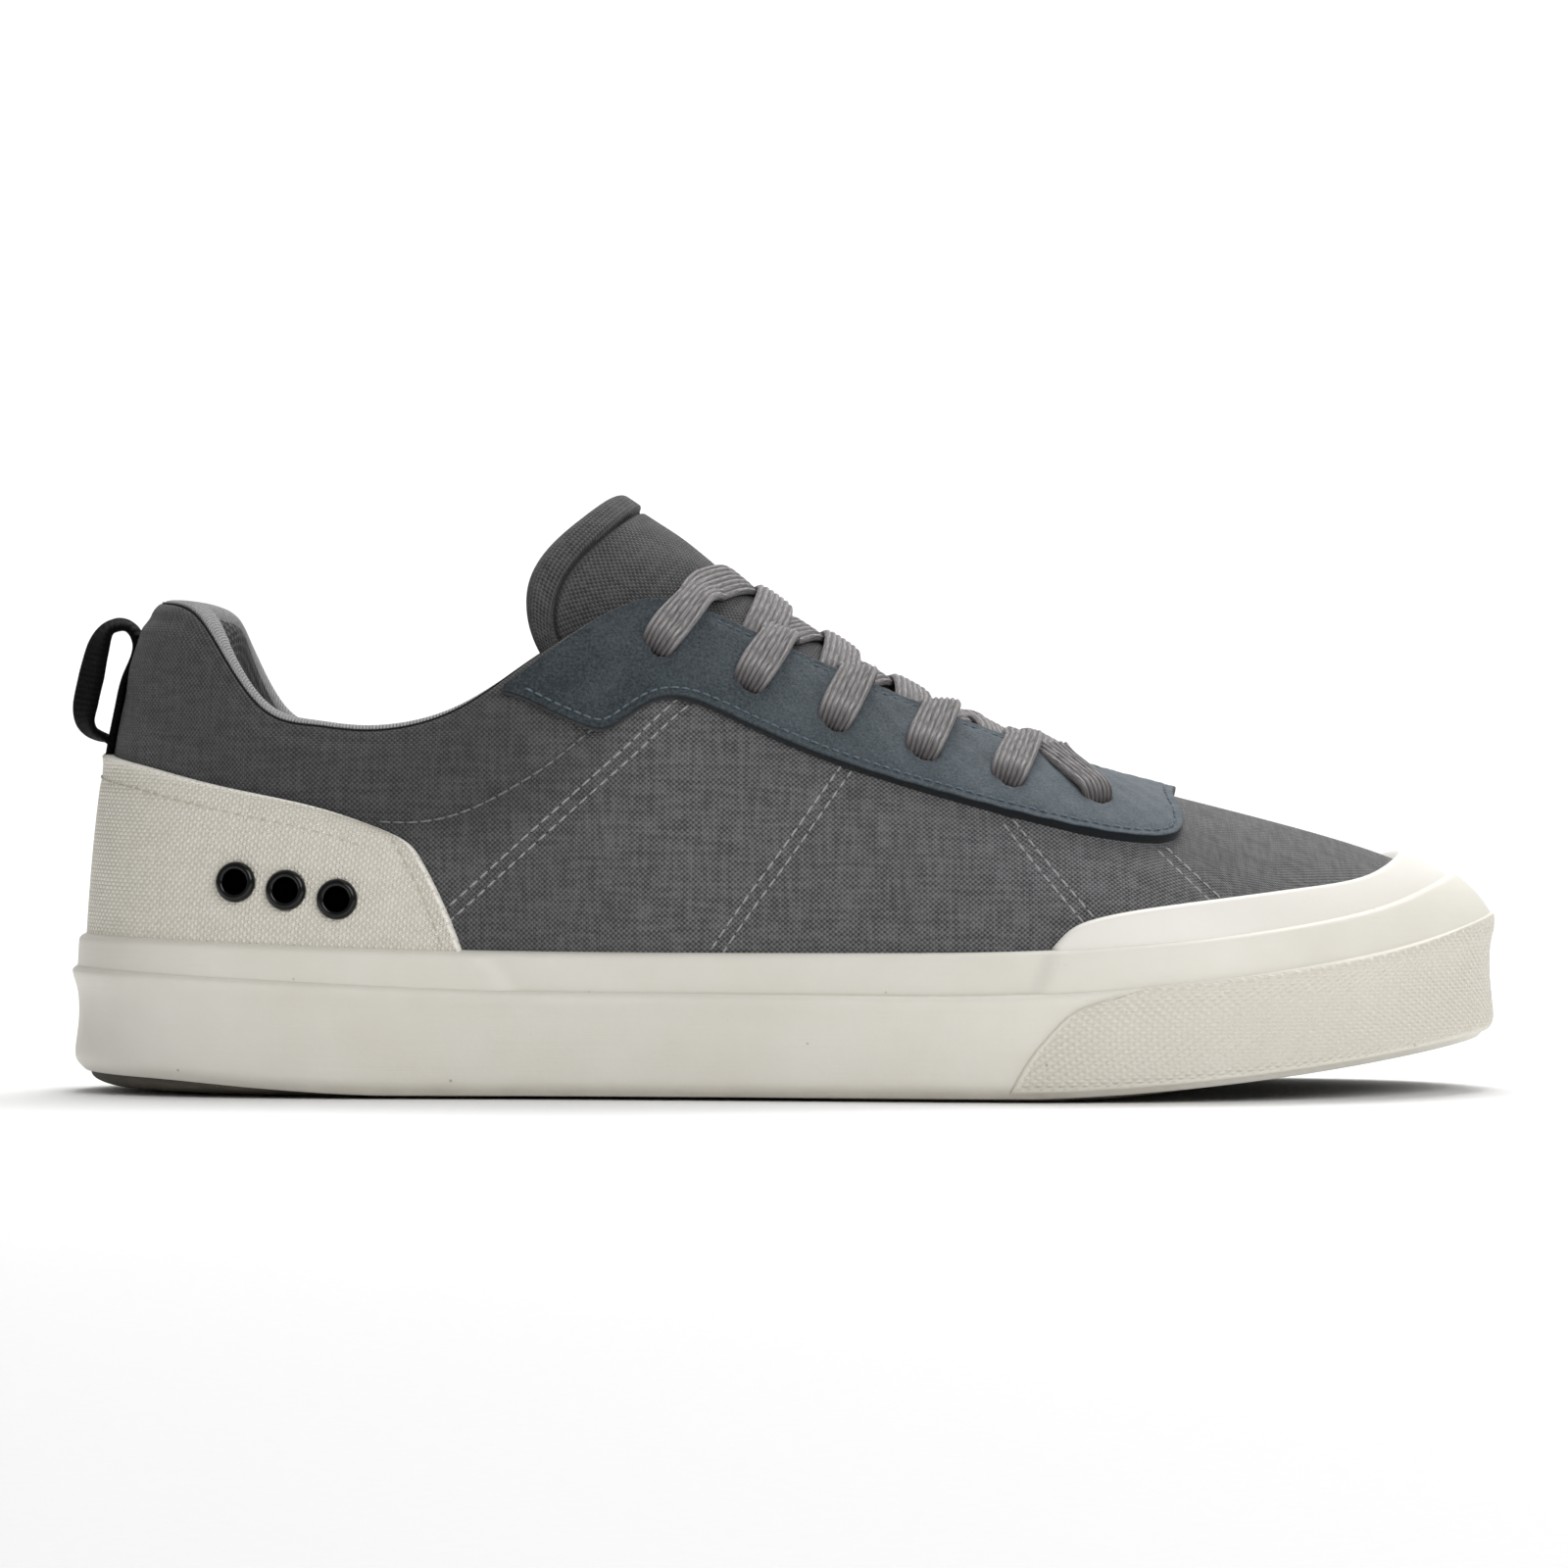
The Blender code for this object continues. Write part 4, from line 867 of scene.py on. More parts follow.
# Moulded toe cap: the smoothest and palest rubber.
CAP_RUBBER = Rubber("smooth_white_rubber", "e6e2da", "eae7e0", 0.42, ior=1.52)
# Bumper moulded with diamonds of 1.3 mm: a frosted white with dust in its valleys.
BUMPER_RUBBER = Rubber("diamond_white_rubber", "dfdacd", "e6e2d7", 0.55, ior=1.52, depth=0.3,
                       diamond=1.27)
# Pressed steel eyelets, dipped and baked: glossy black.
ENAMEL = Enamel("black_baked_enamel", "010101", "040404", 0.16)
# Roll of studio paper: plain white.
PAPER = Paper("white_studio_paper", "f5f5f5", "f8f8f8", 1.0)


def grid_faces(rows: int, columns: int, close_rows: bool) -> Array:
    """Four-cornered faces of a grid whose columns close on themselves.

    Args:
        rows: Stations along the piece.
        columns: Points round each station.
        close_rows: Whether the last station joins the first.

    Returns:
        Point numbers, four to a face, station by station.
    """
    i = np.arange(rows if close_rows else rows - 1)[:, None]
    j = np.arange(columns)[None, :]
    after = ((i + 1) % rows) * columns
    beside = (j + 1) % columns
    corners = [i * columns + j, after + j, after + beside, i * columns + beside]
    return np.stack(np.broadcast_arrays(*corners), axis=-1).reshape(-1, 4)


def cap_faces(start: int, columns: int) -> list[tuple[int, ...]]:
    """Faces that close the end of a tube, between its two long sides."""
    end = start + columns - 1
    return [(start + k, start + k + 1, end - 1 - k, end - k) for k in range(columns // 2 - 1)]


def finish_mesh(name: str, points: Array, faces: list[Sequence[int]], fields: dict[str, Array],
                finishes: Sequence[Finish], slots: Array | None = None) -> Piece:
    """Makes an object from points and faces, with its fields and finishes.

    Args:
        name: The piece's name.
        points: Points in millimetres.
        faces: Point numbers of each face.
        fields: Values for each point that the finishes read, by name.
        finishes: The finishes, in slot order.
        slots: The slot of each face, where there is more than one finish.

    Returns:
        The object, shaded smooth.
    """
    mesh = bpy.data.meshes.new(name)
    mesh.from_pydata((points * METRES).tolist(), [], [tuple(int(k) for k in face) for face in faces])
    for key, values in fields.items():
        values = np.asarray(values, np.float32)
        kind, slot = ("FLOAT_VECTOR", "vector") if values.ndim > 1 else ("FLOAT", "value")
        mesh.attributes.new(key, kind, "POINT").data.foreach_set(slot, values.ravel())
    for finish in finishes:
        mesh.materials.append(finish.material())
    if slots is not None:
        mesh.polygons.foreach_set("material_index", np.asarray(slots, np.int32))
    body = bmesh.new()
    body.from_mesh(mesh)
    bmesh.ops.recalc_face_normals(body, faces=body.faces)
    body.to_mesh(mesh)
    body.free()
    mesh.shade_smooth()
    made = bpy.data.objects.new(name, mesh)
    bpy.context.scene.collection.objects.link(made)
    return made


def tube(name: str, loops: Array, fields: dict[str, Array], finishes: Sequence[Finish],
         closed: bool = False, slots: Array | None = None) -> Piece:
    """A closed body through loops of points.

    Args:
        name: The piece's name.
        loops: Points by station and round each station.
        fields: Values by station and point, by name.
        finishes: The finishes, in slot order.
        closed: Whether the last station joins the first. If not, both ends are capped.
        slots: The finish slot of each column of faces.

    Returns:
        The object.
    """
    rows, columns = loops.shape[:2]
    faces = list(grid_faces(rows, columns, closed))
    numbers = None if slots is None else list(np.tile(slots, len(faces) // columns))
    if not closed:
        caps = cap_faces(0, columns) + cap_faces((rows - 1) * columns, columns)
        faces += caps
        if numbers is not None:
            numbers += [0] * len(caps)
    flat = {key: np.asarray(v).reshape(rows * columns, *np.asarray(v).shape[2:]) for key, v in fields.items()}
    return finish_mesh(name, loops.reshape(-1, 3), faces, flat, finishes, numbers)


def settle(piece: Piece, slot: str, *nodes: str) -> Piece:
    """Puts a finished piece on the shoe's body, in place of its CAD nodes.

    Args:
        piece: The piece, in place.
        slot: The record's material slot. Not used.
        nodes: The CAD nodes that it stands for.

    Returns:
        The same piece.
    """
    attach(piece, BODY)
    if nodes:
        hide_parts(*nodes)
    log.info("%s: %d faces", piece.name, len(piece.data.polygons))
    return piece


@dataclass
class StitchRow:
    """A row of stitches along a path on a surface."""

    points: Array
    normals: Array
    pitch: float = 2.8
    length: float = 2.7
    radius: float = 0.3
    flatness: float = 0.8
    sides: int = 6
    # Place along half a stitch, share of its thickness and rise, ring by ring.
    profile: tuple[tuple[float, float, float], ...] = (
        (-1.0, 0.35, -0.35), (-0.75, 0.85, 0.0), (0.0, 1.0, 0.14), (0.75, 0.85, 0.0), (1.0, 0.35, -0.35))

    def bodies(self) -> tuple[list[Array], list[Array]]:
        """The loops of each stitch, and how far each point lies along its thread."""
        run = travel(self.points)
        loops, flats = [], []
        turns = np.linspace(0, 2 * math.pi, self.sides, endpoint=False)[:, None]
        shares, sizes, rises = np.array(self.profile).T
        for centre in np.arange(self.pitch / 2, run[-1], self.pitch):
            at = np.clip(centre + shares * self.length / 2, 0, run[-1])
            spine = np.stack([np.interp(at, run, self.points[:, k]) for k in range(3)], axis=-1)
            face = unit(np.array([np.interp(centre, run, self.normals[:, k]) for k in range(3)]))
            way = unit(spine[-1] - spine[0])
            side = unit(np.cross(way, face))
            loops.append(np.array([point + face * rise + self.radius * size * (
                np.cos(turns) * side + self.flatness * np.sin(turns) * face)
                for point, rise, size in zip(spine, rises, sizes)]))
            flats.append(np.broadcast_to(at[:, None], (len(at), self.sides)))
        return loops, flats


@dataclass
class Stitching:
    """All the rows sewn with one thread, as one piece."""

    name: str
    finish: Finish
    slot: str
    rows: list[StitchRow] = field(default_factory=list)

    def build(self) -> Piece:
        """Sews the rows and puts them on the shoe."""
        points, faces, flats = [], [], []
        start = 0
        for row in self.rows:
            for loops, flat in zip(*row.bodies()):
                rings, sides = loops.shape[:2]
                faces += list(grid_faces(rings, sides, False) + start)
                faces.append(tuple(start + k for k in range(sides)))
                faces.append(tuple(start + (rings - 1) * sides + k for k in range(sides)))
                points.append(loops.reshape(-1, 3))
                flats.append(flat.reshape(-1))
                start += rings * sides
        along = np.concatenate(flats)
        cloth = on_cloth(along, np.zeros_like(along))
        made = finish_mesh(self.name, np.concatenate(points), faces, {"cloth": cloth}, [self.finish])
        return settle(made, self.slot)


SEAM_LINES = (
    ((0.4400, 0.6880), (0.4045, 0.5790), (0.3740, 0.5000), (0.3445, 0.4185), (0.3155, 0.3285),
     (0.2870, 0.2317)),
    ((0.5465, 0.6100), (0.5143, 0.4350), (0.4891, 0.3050), (0.4660, 0.2025), (0.4450, 0.1150)),
    ((0.6522, 0.5425), (0.6564, 0.4575), (0.6620, 0.3825), (0.6690, 0.3125), (0.6767, 0.2475)),
    ((0.7628, 0.5550), (0.7628, 0.4775), (0.7649, 0.4075), (0.7684, 0.3425)),
)
COLLAR_LINE = (
    (0.2469, 0.5675), (0.2798, 0.5575), (0.3120, 0.5740), (0.3316, 0.5940), (0.3505, 0.6190),
    (0.3792, 0.6750),
)
CREASES = tuple(Crease(*row) for row in (
    (0.150, 0.80, 0.185, 0.66, 3.4, -0.45), (0.190, 0.88, 0.215, 0.72, 3.0, -0.35),
    (0.105, 0.86, 0.120, 0.70, 4.0, -0.40), (0.300, 0.86, 0.322, 0.72, 3.2, -0.35),
    (0.560, 0.50, 0.600, 0.30, 6.0, 0.35), (0.400, 0.40, 0.430, 0.22, 7.0, 0.30),
    (0.700, 0.50, 0.730, 0.36, 5.0, -0.25),
))


@dataclass
class Upper:
    """The hollow canvas shell with its padded collar and knit lining."""

    last: Last
    rings: int = 560
    outer_rows: int = 70
    rim_canvas: int = 5
    rim_rows: int = 14
    inner_rows: int = 24
    seam_half_gap: float = 1.2
    seam_depth: float = 0.4
    seam_width: float = 1.3
    collar_depth: float = 0.9
    collar_width: float = 2.6
    collar_puff: float = 0.9
    lining_turn: Spline = field(default_factory=lambda: Spline(
        (0.0, 0.04, 0.08, 0.12, 0.20, 0.29, 0.335, 0.37, 0.5, 1.0),
        (44.0, 42.0, 36.0, 30.0, 30.0, 34.0, 52.0, 96.0, 110.0, 110.0)))
    # Strength of the painted shade on the collar towards the heel.
    collar_shade: float = 0.54
    cord_reach: float = 0.186
    cord_radius: float = 0.26
    cord_proud: float = 0.97
    cord_steps: int = 420
    cord_sides: int = 8
    joint: tuple[float, ...] = (-5.0, -2.5, 2.5, 6.0)
    joint_proud: tuple[float, ...] = (0.98, 0.92, 0.92, 0.98)
    joint_room: tuple[float, float] = (7.0, 10.0)
    rim_end: float = 172.0
    search: float = 12.0
    lines: list[Array] = field(init=False)
    collar_lines: list[Array] = field(init=False)

    def __post_init__(self) -> None:
        """Lays the seams on both sides."""
        self.lines = [self.line(row, side) for row in SEAM_LINES for side in Side]
        self.collar_lines = [self.line(COLLAR_LINE, side) for side in Side]

    def line(self, row: Sequence[tuple[float, float]], side: Side, count: int = 120) -> Array:
        """Ring places and climbs along a sewn line.

        Args:
            row: Share and climb of the line's points.
            side: The side of the shoe.
            count: Places along the line.

        Returns:
            Ring and climb of each place.
        """
        places = Spline(np.linspace(0, 1, len(row)), row)(np.linspace(0, 1, count))
        return np.stack([self.last.ring(places[:, 0], side), places[:, 1]], axis=-1)

    def distance(self, points: Array, lines: Sequence[Array]) -> Array:
        """How far points of the wall lie from the nearest of some lines."""
        best = np.full(points.shape[:-1], FAR)
        for line in lines:
            path = self.last.face(line[:, 0], line[:, 1])
            low, high = path.min(axis=0) - self.search, path.max(axis=0) + self.search
            near = np.all((points > low) & (points < high), axis=-1)
            gaps = np.linalg.norm(points[near][:, None, :] - path[None], axis=-1)
            best[near] = np.minimum(best[near], gaps.min(axis=1))
        return best

    def swell(self, ring: Array, climb: Array) -> Array:
        """How far the sewn cloth stands off the plain wall.

        Args:
            ring: Ring places.
            climb: Climbs of the same shape.

        Returns:
            Distances outwards.
        """
        points = self.last.face(ring, climb)
        seam_and_painted_shade = self.distance(points, self.lines)
        off = -self.seam_depth * bell(seam_and_painted_shade, self.seam_width)
        off -= self.collar_depth * bell(self.distance(points, self.collar_lines), self.collar_width)
        share = self.last.share(ring)
        padded = ease(climb, 0.60, 0.74) * (1 - ease(climb, 0.90, 1.0)) * (1 - ease(share, 0.30, 0.38))
        off += self.collar_puff * padded
        off -= VENT_HOLLOW * self.last.vent_hollow(points)
        for crease in CREASES:
            for side in Side:
                row = ((crease.share_a, crease.climb_a), (crease.share_b, crease.climb_b))
                gap = self.distance(points, [self.line(row, side, 30)])
                off += crease.depth * bell(gap, crease.width)
        return off

    def surface(self, ring: Array, climb: Array, off: float = 0.0) -> Array:
        """Points a distance off the sewn canvas."""
        return self.last.skin(ring, climb, self.swell(ring, climb) + off)

    def rim(self, ring: Array) -> Array:
        """Points over the rolled edge, from the canvas across the sewn joint to the lining."""
        middle, half, crown = self.brim(ring)
        edge = self.lining_turn(self.last.share(ring))[:, None]
        before, after = self.joint_room
        canvas = np.linspace(0, 1, self.rim_canvas + 1)[None, 1:] * (edge - before)
        lining = edge + after + np.linspace(0, 1, self.rim_rows)[None] * (self.rim_end - edge - after)
        turns = np.radians(np.concatenate([canvas, edge + np.array(self.joint), lining], axis=1))[..., None]
        proud = np.ones(turns.shape[1])
        proud[self.rim_canvas:self.rim_canvas + len(self.joint)] = self.joint_proud
        arm = np.cos(turns) * half[:, None] + np.sin(turns) * crown[:, None]
        return middle[:, None] + arm * proud[None, :, None]

    def build(self) -> Piece:
        """Makes the shell: canvas outside, knit lining over the rim and inside."""
        last = self.last
        ring = np.linspace(0, 1, self.rings, endpoint=False)
        grid = np.broadcast_arrays(ring[:, None], np.linspace(0, 1, self.outer_rows)[None, :])
        inner_grid = np.broadcast_arrays(ring[:, None], np.linspace(1, 0, self.inner_rows)[None, :])
        wall = last.face(*grid)
        outer = self.surface(*grid)
        rim = self.rim(ring)
        inner = last.skin(*inner_grid, -last.pad_depth(*inner_grid))
        loops = np.concatenate([outer, rim, inner], axis=1)
        flat = last.cloth(ring, wall)
        down = travel(np.concatenate([outer[:, -1:], rim, inner], axis=1), 1)[:, 1:]
        half_ring = np.linspace(0, 0.5, self.rings)
        length = travel(last.face(half_ring, 1.0))
        knit = np.interp(last.share(ring), 2 * half_ring, length)[:, None]
        turn = self.rim_canvas + len(self.joint) // 2
        along = np.where(np.arange(down.shape[1])[None, :] >= turn, knit, flat[:, -1:, 0])
        cloth = np.concatenate([flat, on_cloth(along, flat[:, -1:, 1] - down)], axis=1)
        first = self.outer_rows + turn
        slots = np.full(loops.shape[1], 2)
        slots[:first] = 0
        slots[first:self.outer_rows + rim.shape[1] - 3] = 1
        slots[-1] = 0
        # Painted shade: the collar darker towards the heel and higher up, a darker line along the collar's
        # stitching, and a painted shadow just above the heel counter's edge.
        collar = (1 - ease(last.share(grid[0]), 0.30, 0.44)) * (0.5 + 0.5 * ease(grid[1], 0.35, 0.6))
        sewn_and_painted_shade = 0.55 * bell(self.distance(wall, self.collar_lines), 1.0)
        beside = 0.5 * bell(self.distance(wall, [self.counter_line()]), 2.2)
        seam_and_painted_shade = np.zeros(loops.shape[:2])
        seam_and_painted_shade[:, :self.outer_rows] = np.maximum(np.maximum(sewn_and_painted_shade, beside), self.collar_shade * collar)
        # The canvas over the rim keeps the painted shade of the wall below it; the rows at the joint are the
        # dark stitched joint.
        seam_and_painted_shade[:, self.outer_rows:first - 2] = seam_and_painted_shade[:, self.outer_rows - 1:self.outer_rows]
        seam_and_painted_shade[:, first - 1:first + 1] = 1.0
        made = tube("canvas_upper", loops, {"cloth": cloth, "seam_and_painted_shade": seam_and_painted_shade},
                    [CANVAS, LINING, WAFFLE_LINING], True, slots)
        return settle(made, "canvas", "upper")

    def brim(self, ring: Array) -> tuple[Array, Array, Array]:
        """The rolled edge of the collar.

        Args:
            ring: Ring places.

        Returns:
            The roll's middle, and its half widths outwards and upwards.
        """
        top = np.ones_like(ring)
        outer = self.surface(ring, top)
        inner = self.last.skin(ring, top, -self.last.pad_depth(ring, top))
        half = (outer - inner) / 2
        crown = self.last.up(ring, top) * np.linalg.norm(half, axis=-1, keepdims=True)
        return (outer + inner) / 2, half, crown

    def build_cord(self) -> Piece:
        """The dark sewn line round the collar, where the canvas meets the lining."""
        ring = np.mod(np.linspace(-self.cord_reach, self.cord_reach, self.cord_steps), 1.0)
        middle, half, crown = self.brim(ring)
        turn = np.radians(self.lining_turn(self.last.share(ring)))[:, None]
        arm = np.cos(turn) * half + np.sin(turn) * crown
        path = middle + self.cord_proud * arm
        out = unit(arm)
        beside = unit(np.cross(np.gradient(path, axis=0), out))
        angle = np.linspace(0, 2 * math.pi, self.cord_sides, endpoint=False)[None, :, None]
        loops = path[:, None] + self.cord_radius * (
            np.cos(angle) * out[:, None] + np.sin(angle) * beside[:, None])
        made = tube("collar_seam_cord", loops, {"cloth": loops}, [CORD_THREAD])
        return settle(made, "canvas")

    def counter_line(self) -> Array:
        """Ring places and climbs along the top of the heel counter."""
        steps = np.linspace(-1, 1, 240)
        counter = HeelCounter(self.last)
        ring, climb = counter.grid(steps, np.array([0.0, 1.0]))
        return np.stack([ring[:, 1], climb[:, 1]], axis=-1)

    def seam_rows(self) -> list[StitchRow]:
        """The double rows across the quarters."""
        rows = []
        for line in self.lines:
            path = self.surface(line[:, 0], line[:, 1], 0.12)
            out = self.last.out(line[:, 0], line[:, 1])
            beside = unit(np.cross(np.gradient(path, axis=0), out))
            for way in (-1, 1):
                rows.append(StitchRow(path + way * self.seam_half_gap * beside, out, radius=0.24))
        return rows

    def collar_rows(self) -> list[StitchRow]:
        """The single row that holds the collar's padding."""
        rows = []
        for line in self.collar_lines:
            path = self.surface(line[:, 0], line[:, 1], 0.1)
            rows.append(StitchRow(path, self.last.out(line[:, 0], line[:, 1]), radius=0.28))
        return rows


@dataclass
class Overlay:
    """A sheet laid on the wall, with a shaped edge all round."""

    last: Last
    under: float = -0.4

    def sheet(self, name: str, ring: Array, climb: Array, lift: Array, rim: Array,
              finish: Finish) -> Piece:
        """Makes a sheet from a grid on the wall.

        Args:
            name: The piece's name.
            ring: Ring places by column and row.
            climb: Climbs by column and row.
            lift: How far the sheet's face stands off the wall.
            rim: How much of the edge's own finish shows, from 0 to 1.
            finish: The sheet's finish.

        Returns:
            The object.
        """
        base = self.last.face(ring, climb)
        along = travel(base)
        flat = on_cloth(along - along[len(along) // 2], travel(base, 1))
        loops = wrapped(self.last.skin(ring, climb, lift), self.last.skin(ring, climb, self.under))
        fields = {"cloth": wrapped(flat, flat), "rim": wrapped(rim, np.ones_like(rim))}
        return tube(name, loops, fields, [finish])

    @staticmethod
    def edge_distance(points: Array, low: bool = True) -> Array:
        """Distance of each grid point from the edges of its sheet, along the sheet.

        Args:
            points: Points by column and row.
            low: Whether the first row is an edge.

        Returns:
            Distances by column and row.
        """
        up, along = travel(points, 1), travel(points)
        best = np.minimum(up[:, -1:] - up, np.minimum(along, along[-1:] - along))
        return np.minimum(best, up) if low else best


STAY_DROP = Spline(
    (0.328, 0.341, 0.354, 0.369, 0.385, 0.401, 0.421, 0.442, 0.470, 0.520, 0.620, 0.690, 0.740, 0.785,
     0.815, 0.850, 0.890, 0.945, 1.000),
    (1.2, 5.6, 10.8, 16.4, 21.2, 21.4, 20.3, 20.6, 21.8, 22.4, 21.2, 20.4, 19.4, 16.4, 12.4, 8.2, 5.5,
     3.9, 3.4))
EYELETS = ((0.752, 19.6), (0.677, 18.8), (0.613, 16.6), (0.548, 15.6), (0.490, 13.4), (0.430, 9.8))


@dataclass
class Eyestay(Overlay):
    """The suede facing round the throat, with its lace holes and sewn edges."""

    thickness: float = 1.7
    start: float = 0.328
    columns: int = 520
    rows: int = 30
    edge_margin: float = 0.1
    edge_radius: float = 0.35
    ripple: float = 0.10
    trough: float = 0.25
    trough_width: float = 0.8
    stitch_inset: float = 2.0
    stitch_pitch: float = 2.2
    stitch_length: float = 1.9
    hole_radius: float = 2.7
    hole_depth: float = 2.6
    hole_shift: float = 1.3

    def eyelet(self, number: int, side: Side) -> tuple[float, float]:
        """Ring and climb of a lace hole, counted from the toe."""
        share, depth = EYELETS[number]
        ring = float(self.last.ring(share, side))
        return ring, float(self.last.climb_below_edge(ring, depth))

    def rings(self, count: int) -> Array:
        """Ring places from the outer back end round the throat to the inner."""
        return self.last.both(np.linspace(self.start, 1, count // 2 + 1))

    def low_climb(self, ring: Array) -> Array:
        """Climb of the lower edge."""
        drop = STAY_DROP(self.last.share(ring))
        return self.last.climb_at(ring, self.last.face(ring, 1.0)[..., 2] - drop)

    def build(self) -> Piece:
        """Makes the facing."""
        last = self.last
        ring = self.rings(self.columns)
        low = self.low_climb(ring)
        high = last.climb_below_edge(ring, self.edge_margin)
        shares = crowded(self.rows, (0.0, 0.12, 0.35, 0.8, 1.6), 24.0)
        climb = low[:, None] + (high - low)[:, None] * shares[None, :]
        points = last.face(ring[:, None], climb)
        edge = self.edge_distance(points)
        lift = last.overlay_gap + self.thickness * (0.25 + 0.75 * round_edge(edge, self.edge_radius))
        lift += self.ripple * np.sin(points[..., 0] * 0.9) * np.sin(points[..., 1] * 1.1)
        lift -= self.trough * bell(edge - self.stitch_inset, self.trough_width)
        for number in range(len(EYELETS)):
            for side in Side:
                place = self.eyelet(number, side)
                centre = last.face(*place) - last.up(*place) * self.hole_shift
                gap = np.linalg.norm(points - centre, axis=-1)
                lift -= self.hole_depth * (1 - ease(gap, self.hole_radius * 0.75, self.hole_radius * 1.1))
        lift[:, 0] = lift[:, -1] = self.under * 0.5
        rim = 1 - ease(edge, 0.15, 0.55)
        made = self.sheet("suede_eyestay", ring[:, None], climb, lift, rim, SUEDE)
        return settle(made, "suede", "eyestay")

    def stitch_rows(self) -> list[StitchRow]:
        """The row a little inside the lower edge, and the one inside the throat edge."""
        last = self.last
        off = last.overlay_gap + self.thickness - 0.1
        ring = self.rings(900)
        ring = ring[(last.share(ring) > self.start + 0.012)]
        low = self.low_climb(ring)
        path = last.face(ring, low)
        across = unit(np.cross(last.out(ring, low), np.gradient(path, axis=0)))
        square = np.abs(np.sum(across * last.up(ring, low), axis=-1))
        climb = last.climb_above(ring, low, self.stitch_inset / np.maximum(square, 0.3))
        depth = off - 0.25 * ease(last.share(ring), 0.90, 0.95)
        size = (self.stitch_pitch, self.stitch_length)
        rows = [StitchRow(last.skin(ring, climb, depth), last.out(ring, climb), *size, 0.24)]
        ring = ring[(last.share(ring) < 0.86) & (last.share(ring) > 0.47)]
        high = last.climb_below_edge(ring, self.stitch_inset + 0.3)
        for part in (ring < 0.5, ring > 0.5):
            path, out = last.skin(ring[part], high[part], off - 0.1), last.out(ring[part], high[part])
            rows.append(StitchRow(path, out, *size, 0.2))
        return rows


@dataclass
class HeelCounter(Overlay):
    """The coarse woven panel round the heel, with a rolled edge and three vents."""

    thickness: float = 1.5
    columns: int = 260
    rows: int = 40
    bead: float = 0.45
    bead_width: float = 0.9
    edge_radius: float = 0.9
    foot_sink: float = 3.0
    trough: float = 0.22
    trough_width: float = 1.2
    vent_extra: float = 0.9
    stitch_inset: float = 5.0
    stitch_reach: float = 0.955
    front: Spline = field(default_factory=lambda: Spline(
        (0.00, 0.30, 0.60, 0.80, 0.92, 1.00), (0.2990, 0.2905, 0.2800, 0.2715, 0.2620, 0.2480)))
    top: Spline = field(default_factory=lambda: Spline(
        (0.0, 0.3, 0.6, 0.9, 1.0), (70.6, 67.6, 62.8, 57.8, 55.0)))

    def grid(self, steps: Array, shares: Array, sink: float = 0.0) -> tuple[Array, Array]:
        """Ring places and climbs of the panel.

        Args:
            steps: Ways round the heel, from -1 at the inner front edge to 1 at the outer one.
            shares: Shares of the panel's height.
            sink: How far the panel reaches down behind the strip.

        Returns:
            Ring and climb by step and share.
        """
        step, share = np.broadcast_arrays(steps[:, None], shares[None, :])
        ring = np.mod(step * self.front(np.clip(share, 0, 1)) / 2, 1.0)
        foot = self.last.strip_top(ring) - sink
        height = foot + share * (self.top(np.abs(step)) - foot)
        return ring, self.last.climb_at(ring, height)

    def build(self) -> Piece:
        """Makes the panel."""
        steps = crowded(self.columns, (0.0, 0.15, 0.4, 0.8, 1.4), 190.0) * 2 - 1
        shares = crowded(self.rows, (0.0, 0.15, 0.4, 0.8, 1.4), 40.0)
        ring, climb = self.grid(steps, shares, self.foot_sink)
        points = self.last.face(ring, climb)
        edge = self.edge_distance(points, low=False)
        lift = self.last.overlay_gap + self.thickness * round_edge(edge, self.edge_radius)
        lift += self.bead * bell(edge - self.bead_width, 0.7)
        lift -= self.trough * bell(edge - self.stitch_inset, self.trough_width)
        lift -= (VENT_HOLLOW + self.vent_extra) * self.last.vent_hollow(points)
        rim = 1 - ease(edge, 0.9, 1.8)
        made = self.sheet("heel_counter_panel", ring, climb, lift, rim, COUNTER_CLOTH)
        return settle(made, "counter_cloth", "heel_counter")

    def stitch_rows(self) -> list[StitchRow]:
        """The row along the top and down both front edges."""
        last = self.last
        off = last.overlay_gap + self.thickness - 0.15
        steps = np.linspace(-1, 1, 500)
        ring, climb = self.grid(steps * self.stitch_reach, np.array([0.0, 1.0]))
        path = last.face(ring[:, 1], climb[:, 1])
        climb_in = last.climb_at(ring[:, 1], path[:, 2] - self.stitch_inset)
        rows = [StitchRow(last.skin(ring[:, 1], climb_in, off), last.out(ring[:, 1], climb_in), radius=0.22)]
        for way in (-self.stitch_reach, self.stitch_reach):
            shares = np.linspace(0.02, 0.86, 160)
            ring, climb = self.grid(np.array([way]), shares)
            path, out = last.skin(ring[0], climb[0], off), last.out(ring[0], climb[0])
            rows.append(StitchRow(path, out, radius=0.22))
        return rows


